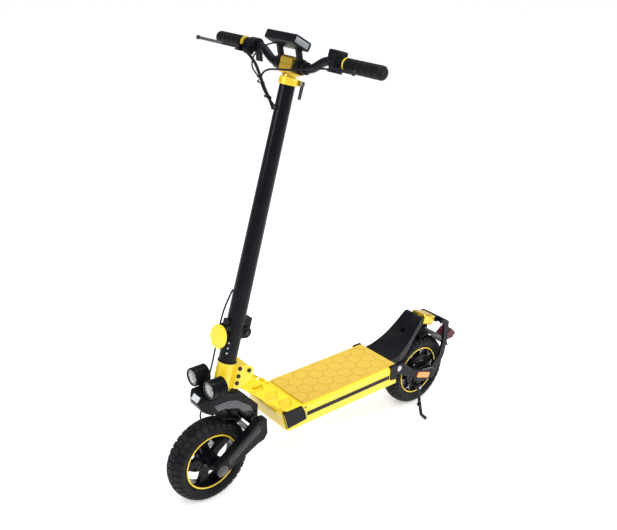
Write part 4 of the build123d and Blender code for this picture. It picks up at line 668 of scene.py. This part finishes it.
def smoothLine(points):
    data = bpy.data.curves.new("routeLine", "CURVE")
    data.dimensions = "3D"
    spline = data.splines.new("NURBS")
    spline.points.add(len(points) - 1)
    for spot, point in zip(spline.points, points):
        spot.co = (*point, 1.0)
    spline.order_u = 3
    spline.use_endpoint_u = True
    data.resolution_u = 10
    return data


def lineToMesh(data, name):
    holder = bpy.data.objects.new(name, data)
    scene.collection.objects.link(holder)
    bpy.context.view_layer.update()
    mesh = bpy.data.meshes.new_from_object(holder.evaluated_get(bpy.context.evaluated_depsgraph_get()))
    bpy.data.objects.remove(holder)
    mesh.name = name
    return mesh


def makeCable(name, points, diameter, bodies, hides=()):
    data = smoothLine(points)
    spots = [v.co.copy() for v in lineToMesh(data, name + "Line").vertices]
    data.bevel_depth = diameter / 2
    data.bevel_resolution = 4
    data.use_fill_caps = True
    mesh = lineToMesh(data, name)
    piece = bpy.data.objects.new(name, mesh)
    scene.collection.objects.link(piece)
    mesh.materials.clear()
    mesh.materials.append(surfaces["gripRubber"])
    mesh.shade_smooth()
    if len(bodies) == 2:
        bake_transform(piece)
    else:
        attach(piece, bodies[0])
    if hides:
        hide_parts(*hides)


for cableName, form in cableRoutes.items():
    route = [steerPoint(*point) for point in form["points"]]
    makeCable(cableName, route, form["diameter"], form["bodies"], form["hides"])

# The display's cable stays on the mast; the brake hose is given in plain X, Y and Z.
displayRoute = [
    (0.020, -0.020, gripUp + 0.022), (0.040, -0.026, gripUp + 0.018), (0.066, -0.044, gripUp + 0.002),
    (0.078, -0.062, gripUp - 0.026), (0.070, -0.070, gripUp - 0.056), (0.054, -0.064, gripUp - 0.070),
    (0.0485, -0.058, gripUp - 0.079),
]
makeCable("displayCable", [steerPoint(*point) for point in displayRoute], 0.004, ("mast",))
hoseRoute = [
    (0.440, -0.0390, 0.290), (0.456, -0.0395, 0.268), (0.460, -0.0400, 0.240), (0.447, -0.0405, 0.214),
    (0.425, -0.0400, 0.198),
]
makeCable(
    "brakeHose", hoseRoute, 0.005, ("fork", "front_arm"),
)


tieForm = {
    "spots": ((0.0455, -0.0485, gripUp - 0.087), (0.0385, -0.018, gripUp - 0.118)),
    "reach": 0.0085,
    "thick": 0.0011,
    "half": 0.0014,
    "lean": math.radians(62),
    "tail": 0.005,
    "tailHalf": 0.002,
}


def makeTies():
    form = tieForm
    build = bmesh.new()
    reach, outer, half, tail = form["reach"], form["reach"] + form["thick"], form["half"], form[
        "tailHalf"
    ]
    turn = steerFrame.to_3x3().to_4x4() @ Matrix.Rotation(form["lean"], 4, "X")
    for spot in form["spots"]:
        place = Matrix.Translation(steerPoint(*spot)) @ turn
        addRevolved(build, [(reach, -half), (outer, -half), (outer, half), (reach, half)], 24, place)
        addBox(build, (reach, -tail, -tail), (reach + form["tail"], tail, tail), place, 0.0004)
    newPiece("cableTies", finishMesh("cableTies", build), "mast", "blackPlastic")


makeTies()
print("stage: cables made")

lamp = {
    "centreZ": 0.381,
    "side": 0.042,
    "faceX": 0.4772,
    "cups": 8,  # round the middle one
    "cupReach": 0.0046,
    "cupDepth": 0.0035,
    "ringReach": 0.0128,
    "outerReach": 0.0206,
    "ledReach": 0.0014,
    "coverAhead": 0.0048,
    "rimX": 0.4819,
    "rim": (  # reach and depth round the bezel's section
        (0.0207, -0.0004), (0.0207, 0.0012), (0.0222, 0.0024),
        (0.0252, 0.0024), (0.0262, 0.0008), (0.0262, -0.0004),
    ),
}


def makeLampOptics():
    form = lamp
    plate, leds, cover, bezel = bmesh.new(), bmesh.new(), bmesh.new(), bmesh.new()
    angles = [2 * math.pi * index / form["cups"] for index in range(form["cups"])]
    spots = [(0.0, 0.0)]
    spots += [
        (form["ringReach"] * math.cos(angle), form["ringReach"] * math.sin(angle)) for angle in angles
    ]
    lip = form["cupDepth"] - 0.0005
    cupProfile = [
        (0.0018, -0.0015), (form["cupReach"], lip), (form["cupReach"] + 0.0006, lip), (0.0024, -0.0015),
    ]
    cupTurn = Matrix.Rotation(math.radians(90), 4, "X") @ Matrix.Translation((0, -0.0005, 0))
    for way in (-1, 1):
        centre = Matrix.Translation((form["faceX"], form["side"] * way, form["centreZ"])) @ alongX
        addCylinder(plate, form["outerReach"], 0.001, centre, 48)
        for across, along in spots:
            cup = centre @ Matrix.Translation((across, along, 0.0005 + form["cupDepth"] / 2))
            addRevolved(plate, cupProfile, 20, cup @ cupTurn)
            led = centre @ Matrix.Translation((across, along, 0.0010))
            addCylinder(leds, form["ledReach"], 0.0014, led, 12, bevel=0.0003)
        front = centre @ Matrix.Translation((0, 0, form["coverAhead"]))
        addCylinder(cover, form["outerReach"], 0.0012, front, 64, bevel=0.0003)
        seat = Matrix.Translation((form["rimX"], form["side"] * way, form["centreZ"]))
        addRevolved(bezel, form["rim"], 64, seat @ Matrix.Rotation(math.radians(-90), 4, "Z"))
    newPiece("lampCups", finishMesh("lampCups", plate), "fork", "lampReflector")
    newPiece("lampDiodes", finishMesh("lampDiodes", leds), "fork", "ledYellow")
    coverMesh = finishMesh("lampCovers", cover)
    newPiece("lampCovers", coverMesh, "fork", "lampLens", hides=("headlight_lenses",))
    newPiece("lampBezels", finishMesh("lampBezels", bezel), "fork", "blackPaint")


makeLampOptics()


def makePanel(build, outline, low, high, bevel):
    # A plate with that outline in X and Z, from low to high along Y.
    lower = [build.verts.new((x, low, z)) for x, z in outline]
    face = build.faces.new(lower)
    made = bmesh.ops.extrude_face_region(build, geom=[face])
    upper = [v for v in made["geom"] if isinstance(v, bmesh.types.BMVert)]
    bmesh.ops.translate(build, verts=upper, vec=(0, high - low, 0))
    top = [f for f in made["geom"] if isinstance(f, bmesh.types.BMFace)]
    edges = list({e for f in top for e in f.edges})
    bmesh.ops.bevel(build, geom=edges, offset=bevel, segments=2, affect="EDGES", profile=0.5)


weavePanel = {
    "outline": (  # X and Z round the panel
        (0.466, 0.326), (0.455, 0.304), (0.431, 0.3035), (0.386, 0.2885), (0.352, 0.250),
        (0.330, 0.2505), (0.343, 0.279), (0.392, 0.3165), (0.424, 0.326),
    ),
    "lowY": 0.0418,
    "highY": 0.0432,
    "bevel": 0.0008,
}


def makeWeavePanels():
    form = weavePanel
    build = bmesh.new()
    for way in (-1, 1):
        makePanel(build, form["outline"], form["lowY"] * way, form["highY"] * way, form["bevel"])
    newPiece("weavePanels", finishMesh("weavePanels", build), "fork", "carbonWeave")


makeWeavePanels()

armForm = {
    "pivot": (0.3225, 0.2195),
    "faceY": 0.075,
    "ribs": 29,
    "ribStart": 0.012,
    "ribPitch": 0.0044,
    "ribWidth": 0.0022,
    "ribRise": 0.0015,
    "ribLow": -0.009,
    "ribHigh": 0.0135,
    "ribLean": math.radians(-14),
    "capReach": 0.0175,
    "socketReach": 0.0120,
    "screws": ((0.060, -0.0125), (0.132, -0.0105), (0.004, 0.004)),  # along the arm and across it
    "screwReach": 0.0040,
}
armRun = Vector(bike["frontAxle"]) - Vector(armForm["pivot"])
armAlong = Vector((armRun.x, 0, armRun.y)).normalized()
armAcross = Vector((-armAlong.z, 0, armAlong.x))


def armPlace(along, across, side):
    spot = Vector(
        (armForm["pivot"][0], side, armForm["pivot"][1])
    ) + armAlong * along + armAcross * across
    return Matrix.Translation(spot) @ Matrix((
        (armAlong.x, 0, armAcross.x, 0), (0, 1, 0, 0), (armAlong.z, 0, armAcross.z, 0), (0, 0, 0, 1),
    ))


def makeArmTrim():
    form = armForm
    ribs, caps, screws = bmesh.new(), bmesh.new(), bmesh.new()
    lean = Matrix.Rotation(form["ribLean"], 4, "Y")
    reach = form["ribWidth"] / 2
    for way in (-1, 1):
        face = form["faceY"] * way
        depth = sorted((-0.0004 * way, form["ribRise"] * way))
        low, high = (-reach, depth[0], form["ribLow"]), (reach, depth[1], form["ribHigh"])
        for index in range(form["ribs"]):
            along = form["ribStart"] + index * form["ribPitch"]
            addBox(ribs, low, high, armPlace(along, 0.002, face) @ lean, 0.0004)
        axle = Matrix.Translation(
            (bike["frontAxle"][0], face + 0.0008 * way, bike["frontAxle"][1])
        ) @ alongY
        addCylinder(caps, form["capReach"], 0.0036, axle, 64, bevel=0.0010)
        addCylinder(caps, form["socketReach"], 0.0052, axle, 6, bevel=0.0006)
        for along, across in form["screws"]:
            spot = armPlace(along, across, face) @ alongY
            addCylinder(screws, form["screwReach"], 0.0024, spot, 24, bevel=0.0006)
            addCylinder(screws, 0.0018, 0.0030, spot, 6)
    newPiece("armRibs", finishMesh("armRibs", ribs), "front_arm", "ribPlasticPaintedHighlight")
    capMesh = finishMesh("armAxleCaps", caps)
    newPiece("armAxleCaps", capMesh, "front_arm", "glossBlack")
    newPiece("armScrews", finishMesh("armScrews", screws), "front_arm", "darkSteel")


makeArmTrim()
print("stage: front trim made")


spokeForm = {
    "count": 9,
    "inner": 0.0415,  # reach of the root, under the drum's edge
    "fork": 0.0685,
    "outer": 0.0790,
    "spread": math.radians(9.5),
    "width": 0.0042,
    "faceY": 0.0132,
    "rise": 0.0046,
    "shineWidth": 0.0022,
    "shineSink": 0.0003,
    "shineRise": 0.0005,
}


def addBar(build, start, end, low, high, width):
    # A straight bar between two points in the X and Z plane, from low to high along Y.
    start, end = Vector((start[0], 0, start[1])), Vector((end[0], 0, end[1]))
    run = end - start
    along = run.normalized()
    across = Vector((-along.z, 0, along.x))
    place = Matrix.Translation((start + end) / 2) @ Matrix((
        (along.x, 0, across.x, 0), (0, 1, 0, 0), (along.z, 0, across.z, 0), (0, 0, 0, 1),
    ))
    addBox(build, (-run.length / 2, low, -width / 2), (run.length / 2, high, width / 2), place, 0.0004)


def makeRearSpokes():
    body, shine = bmesh.new(), bmesh.new()
    centre = Vector((bike["rearAxle"][0], bike["rearAxle"][1]))
    form = spokeForm

    def spot(reach, angle):
        return centre + Vector((math.cos(angle), math.sin(angle))) * reach

    for way in (-1, 1):
        top = form["faceY"] + form["rise"]
        face = sorted((form["faceY"] * way, top * way))
        cap = sorted(((top - form["shineSink"]) * way, (top + form["shineRise"]) * way))
        for index in range(form["count"]):
            angle = 2 * math.pi * (index + 0.5) / form["count"]
            middle = spot(form["fork"], angle)
            runs = [(spot(form["inner"], angle), middle)]
            runs += [(middle, spot(form["outer"], angle + turn * form["spread"])) for turn in (-1, 1)]
            for start, end in runs:
                addBar(body, start, end, *face, form["width"])
                addBar(shine, start, end, *cap, form["shineWidth"])
    newPiece("rearSpokes", finishMesh("rearSpokes", body), "rear_wheel", "glossBlack")
    shineMesh = finishMesh("rearSpokeEdges", shine)
    newPiece("rearSpokeEdges", shineMesh, "rear_wheel", "machinedEdge")


makeRearSpokes()

motorForm = {
    "coverY": 0.0268,
    "coverRise": 0.0014,
    "coverInner": 0.0300,
    "coverOuter": 0.0415,
    "screws": 8,
    "screwCircle": 0.0475,
    "screwReach": 0.0029,
    "screwThick": 0.0022,
    "screwY": 0.0272,
}


def makeMotorTrim():
    form = motorForm
    cover, screws = bmesh.new(), bmesh.new()
    for way in (-1, 1):
        low, high = form["coverY"] * way, (form["coverY"] + form["coverRise"]) * way
        inner, outer = form["coverInner"], form["coverOuter"]
        profile = [(inner, low), (inner, high), (outer - 0.001, high), (outer, low)]
        addRevolved(cover, profile, 96, wheelFrame(bike["rearAxle"]))
        for index in range(form["screws"]):
            angle = 2 * math.pi * index / form["screws"]
            spot = Matrix.Translation((
                bike["rearAxle"][0] + form["screwCircle"] * math.cos(angle),
                form["screwY"] * way,
                bike["rearAxle"][1] + form["screwCircle"] * math.sin(angle),
            ))
            addCylinder(screws, form["screwReach"], form["screwThick"], spot @ alongY, 20, bevel=0.0005)
    newPiece("motorRings", finishMesh("motorRings", cover), "rear_wheel", "glossBlack")
    newPiece("motorScrews", finishMesh("motorScrews", screws), "rear_wheel", "darkSteel")


makeMotorTrim()

discForm = {
    "carrierY": -0.0326,
    "carrierRise": 0.0016,
    "carrierInner": 0.0210,
    "carrierOuter": 0.0262,
    "edgeInner": 0.0598,
    "edgeOuter": 0.0618,
    "edgeLow": -0.0302,
    "edgeHigh": -0.0296,
    "bolts": 6,
    "boltCircle": 0.0236,
    "boltReach": 0.0030,
    "boltThick": 0.0020,
    "boltSink": 0.0018,
}


def addFlatRing(build, inner, outer, low, high, steps, place):
    addRevolved(build, [(inner, low), (inner, high), (outer, high), (outer, low)], steps, place)


def makeDiscTrim():
    # Gold carrier ring, edge ring and bolts of the front brake disc.
    form = discForm
    ring, bolts = bmesh.new(), bmesh.new()
    place = wheelFrame(bike["frontAxle"])
    side = form["carrierY"]
    addFlatRing(
        ring, form["carrierInner"], form["carrierOuter"], side, side - form["carrierRise"], 72, place,
    )
    addFlatRing(ring, form["edgeInner"], form["edgeOuter"], form["edgeLow"], form["edgeHigh"], 96, place)
    for index in range(form["bolts"]):
        angle = math.radians(60 * index + 30)
        spot = Matrix.Translation((
            bike["frontAxle"][0] + form["boltCircle"] * math.cos(angle),
            side - form["boltSink"],
            bike["frontAxle"][1] + form["boltCircle"] * math.sin(angle),
        ))
        addCylinder(bolts, form["boltReach"], form["boltThick"], spot @ alongY, 20, bevel=0.0005)
    newPiece("discCarrier", finishMesh("discCarrier", ring), "front_wheel", "goldMetal")
    newPiece("discBolts", finishMesh("discBolts", bolts), "front_wheel", "darkSteel")


makeDiscTrim()
print("stage: wheel trim made")

display = {
    "ahead": 0.030,
    "above": 0.056,
    "tilt": math.radians(-14.1),
    "width": 0.112,
    "ribs": 15,
    "ribStart": -0.0215,
    "ribPitch": 0.00307,
    "ribWidth": 0.0019,
    "ribHalf": 0.0072,
    "keys": 3,
    "keyPitch": 0.010,
    "keyLow": (-0.0275, -0.0036, 0.0112),
    "keyHigh": (-0.0245, 0.0036, 0.0128),
    "marks": 5,
    "markPitch": 0.010,
    "markLow": (0.010, -0.0022, 0.01165),
    "markHigh": (0.0112, 0.0022, 0.0121),
}


def addRow(build, count, pitch, low, high, place, bevel):
    # A row of equal boxes along Y, centred on the place.
    for index in range(count):
        shift = Vector((0, (index - (count - 1) / 2) * pitch, 0))
        addBox(build, Vector(low) + shift, Vector(high) + shift, place, bevel)


def makeDisplayTrim():
    form = display
    ribs, keys, marks = bmesh.new(), bmesh.new(), bmesh.new()
    centre = Matrix.Translation((form["ahead"], 0, bike["barUp"] + form["above"]))
    place = steerFrame @ centre @ Matrix.Rotation(form["tilt"], 4, "Y")
    side = form["width"] / 2
    for index in range(form["ribs"]):
        along = form["ribStart"] + index * form["ribPitch"]
        low = (along, side - 0.0004, -form["ribHalf"])
        high = (along + form["ribWidth"], side + 0.0011, form["ribHalf"])
        addBox(ribs, low, high, place, 0.0003)
    addRow(keys, form["keys"], form["keyPitch"], form["keyLow"], form["keyHigh"], place, 0.0004)
    addRow(marks, form["marks"], form["markPitch"], form["markLow"], form["markHigh"], place, 0.0001)
    newPiece(
        "displaySideRibs", finishMesh("displaySideRibs", ribs), "mast", "silverPlastic",
    )
    newPiece("displayKeys", finishMesh("displayKeys", keys), "mast", "gripRubber")
    newPiece("displayMarks", finishMesh("displayMarks", marks), "mast", "ledYellow")


makeDisplayTrim()

stemForm = {
    "sealUps": (0.343 / steerCos - 0.0005, 0.424 / steerCos + 0.0012),  # under and over the head tube
    "sealInner": 0.0250,
    "sealOuter": 0.0274,
    "sealHalf": 0.0016,
    "screwUps": (0.497, 0.482, 0.467),
    "screwTurn": math.radians(38),
    "screwSeat": 0.0252,
    "screwReach": 0.0030,
    "socketReach": 0.0013,
}


def makeStemTrim():
    form = stemForm
    seals, screws = bmesh.new(), bmesh.new()
    inner, outer, half = form["sealInner"], form["sealOuter"], form["sealHalf"]
    profile = [
        (inner, -half), (outer - 0.0006, -half), (outer, 0.0), (outer - 0.0006, half), (inner, half),
    ]
    upright = Matrix.Rotation(math.radians(90), 4, "X")
    for up in form["sealUps"]:
        addRevolved(seals, profile, 72, steerFrame @ Matrix.Translation((0, 0, up)) @ upright)
    for up in form["screwUps"]:
        for way in (-1, 1):
            turn = Matrix.Rotation(form["screwTurn"] * way, 4, "Z")
            seat = Matrix.Translation((form["screwSeat"], 0, 0)) @ alongX
            place = steerFrame @ Matrix.Translation((0, 0, up)) @ turn @ seat
            addCylinder(screws, form["screwReach"], 0.0020, place, 20, bevel=0.0005)
            addCylinder(screws, form["socketReach"], 0.0024, place, 6)
    newPiece(
        "steeringSeals", finishMesh("steeringSeals", seals), "chassis", "gripRubber",
    )
    newPiece("foldBaseScrews", finishMesh("foldBaseScrews", screws), "fork", "steel")


makeStemTrim()
print("stage: bar and stem trim made")


deckForm = {
    "sideY": 0.088,
    "sideScrews": ((0.205, 0.232), (0.175, 0.232), (-0.205, 0.226)),  # X and Z
    "sideScrewReach": 0.0030,
    "diodes": 42,
    "diodeStart": -0.165,
    "diodePitch": 0.0083,
    "diodeLength": 0.0028,
    "diodeLow": 0.2053,
    "diodeHigh": 0.2081,
    "baseScrewXs": (0.20, 0.10, 0.0, -0.10, -0.19),
    "baseScrewY": 0.060,
    "baseZ": 0.1738,
    "baseScrewReach": 0.0042,
}


def makeDeckTrim():
    form = deckForm
    screws, lamps, feet = bmesh.new(), bmesh.new(), bmesh.new()
    for way in (-1, 1):
        for x, z in form["sideScrews"]:
            place = Matrix.Translation((x, (form["sideY"] + 0.0008) * way, z)) @ alongY
            addCylinder(screws, form["sideScrewReach"], 0.0018, place, 20, bevel=0.0005)
        face = sorted(((form["sideY"] - 0.0006) * way, (form["sideY"] + 0.0004) * way))
        for index in range(form["diodes"]):
            x = form["diodeStart"] + index * form["diodePitch"]
            low = (x, face[0], form["diodeLow"])
            high = (x + form["diodeLength"], face[1], form["diodeHigh"])
            addBox(lamps, low, high, bevel=0.0003)
        for x in form["baseScrewXs"]:
            place = Matrix.Translation((x, form["baseScrewY"] * way, form["baseZ"]))
            addCylinder(feet, form["baseScrewReach"], 0.0016, place, 20, bevel=0.0005)
    newPiece(
        "deckSideScrews", finishMesh("deckSideScrews", screws), "chassis", "darkSteel",
    )
    newPiece("stripDiodes", finishMesh("stripDiodes", lamps), "chassis", "silverPlastic")
    newPiece("deckBaseScrews", finishMesh("deckBaseScrews", feet), "chassis", "darkSteel")


makeDeckTrim()

standForm = {
    "ringSpot": (-0.3335, 0.0985, 0.050),  # part way down the leg
    "ringInner": 0.0052,
    "ringOuter": 0.0082,
    "ringHalf": 0.0030,
    "nutSpot": (-0.3455, 0.0840, 0.1055),
    "nutReach": 0.0062,
    "nutThick": 0.0040,
}


def makeStandTrim():
    form = standForm
    ring, nut = bmesh.new(), bmesh.new()
    lean = Matrix.Rotation(math.radians(90), 4, "X") @ Matrix.Rotation(math.radians(12), 4, "Y")
    inner, half, shoulder = form["ringInner"], form["ringHalf"], form["ringOuter"] - 0.0008
    profile = [
        (inner, -half), (shoulder, -half), (form["ringOuter"], 0.0), (shoulder, half), (inner, half),
    ]
    addRevolved(ring, profile, 32, Matrix.Translation(form["ringSpot"]) @ lean)
    newPiece("standRing", finishMesh("standRing", ring), "kickstand", "darkSteel")
    place = Matrix.Translation(form["nutSpot"]) @ alongY
    addCylinder(nut, form["nutReach"], form["nutThick"], place, 6, bevel=0.0006)
    newPiece("standNut", finishMesh("standNut", nut), "rear_swing", "steel")


makeStandTrim()

rearArmForm = {
    "faceY": 0.0624,
    "screws": ((-0.262, 0.2035), (-0.345, 0.142), (-0.402, 0.1275), (-0.430, 0.112)),  # X and Z
    "screwReach": 0.0036,
    "screwThick": 0.0020,
}


def makeRearTrim():
    form = rearArmForm
    screws = bmesh.new()
    for way in (-1, 1):
        for x, z in form["screws"]:
            place = Matrix.Translation((x, form["faceY"] * way, z)) @ alongY
            addCylinder(screws, form["screwReach"], form["screwThick"], place, 20, bevel=0.0005)
    newPiece(
        "rearArmScrews", finishMesh("rearArmScrews", screws), "rear_swing", "darkSteel",
    )


makeRearTrim()
print("stage: deck and rear trim made")

# Floor, light and camera.
studio = {
    "floorSize": 24.0,
    "floorColour": (0.90, 0.90, 0.91),
    "floorGlow": 0.42,
    "worldColour": (1.0, 1.0, 1.0),
    "worldStrength": 1.0,
    "roomColour": (0.36, 0.37, 0.39),
    "cameraPlace": (1.4949, 1.5714, 1.5384),
    "cameraYaw": math.radians(-131.34),
    "cameraPitch": math.radians(23.18),
    "cameraRoll": math.radians(2.7),
    "lens": 46.32,
    "skyPower": 1.0,
    "skySpread": math.radians(70),
}
studioLamps = [
    ("keyLamp", (1.6, 2.6, 3.4), 1.3, 66.0),
    ("fillLamp", (3.4, -0.6, 2.0), 1.2, 30.0),
    ("topLamp", (-0.6, 0.2, 3.8), 1.8, 34.0),
    ("rearLamp", (-3.0, 1.6, 1.8), 1.0, 40.0),
]


def makeFloor():
    mesh = bpy.data.meshes.new("floor")
    half = studio["floorSize"] / 2
    mesh.from_pydata(
        [(-half, -half, 0), (half, -half, 0), (half, half, 0), (-half, half, 0)], [], [(0, 1, 2, 3)],
    )
    floor = bpy.data.objects.new("floor", mesh)
    scene.collection.objects.link(floor)
    material = bpy.data.materials.new("floorPaint")
    material.use_nodes = True
    shader = material.node_tree.nodes["Principled BSDF"]
    shader.inputs["Base Color"].default_value = (*studio["floorColour"], 1.0)
    shader.inputs["Roughness"].default_value = 0.55
    shader.inputs["Emission Color"].default_value = (1.0, 1.0, 1.0, 1.0)
    shader.inputs["Emission Strength"].default_value = studio["floorGlow"]
    mesh.materials.append(material)


def makeLamps():
    for name, place, size, power in studioLamps:
        light = bpy.data.lights.new(name, "AREA")
        light.shape = "DISK"
        light.size = size
        light.energy = power
        lamp = bpy.data.objects.new(name, light)
        lamp.location = place
        toward = Vector((0, 0, 0.5)) - Vector(place)
        lamp.rotation_euler = toward.to_track_quat("-Z", "Y").to_euler()
        scene.collection.objects.link(lamp)
    sky = bpy.data.lights.new("skyLamp", "SUN")  # an even light from above that keeps the floor pale
    sky.energy = studio["skyPower"]
    sky.angle = studio["skySpread"]
    scene.collection.objects.link(bpy.data.objects.new("skyLamp", sky))


def makeWorld():
    world = bpy.data.worlds.new("studioWorld")
    world.use_nodes = True
    tree = world.node_tree
    background = tree.nodes["Background"]
    seen = addNode(tree, "ShaderNodeLightPath").outputs["Is Camera Ray"]
    tint = mixColour(tree, seen, studio["roomColour"], studio["worldColour"])
    tree.links.new(tint, background.inputs["Color"])
    background.inputs["Strength"].default_value = studio["worldStrength"]
    scene.world = world


def makeCamera():
    yaw, pitch, roll = studio["cameraYaw"], studio["cameraPitch"], studio["cameraRoll"]
    look = Vector((math.cos(pitch) * math.cos(yaw), math.cos(pitch) * math.sin(yaw), -math.sin(pitch)))
    side = look.cross(Vector((0, 0, 1))).normalized()
    over = side.cross(look)
    right = side * math.cos(roll) + over * math.sin(roll)
    up = over * math.cos(roll) - side * math.sin(roll)
    camera = bpy.data.objects.new("camera", bpy.data.cameras.new("camera"))
    camera.data.lens = studio["lens"]
    camera.data.sensor_width = 36.0
    turn = Matrix((right, up, -look)).transposed().to_4x4()
    camera.matrix_world = Matrix.Translation(studio["cameraPlace"]) @ turn
    scene.collection.objects.link(camera)
    scene.camera = camera


makeFloor()
makeLamps()
makeWorld()
makeCamera()
scene.view_settings.view_transform = "Standard"
print("stage: studio ready")
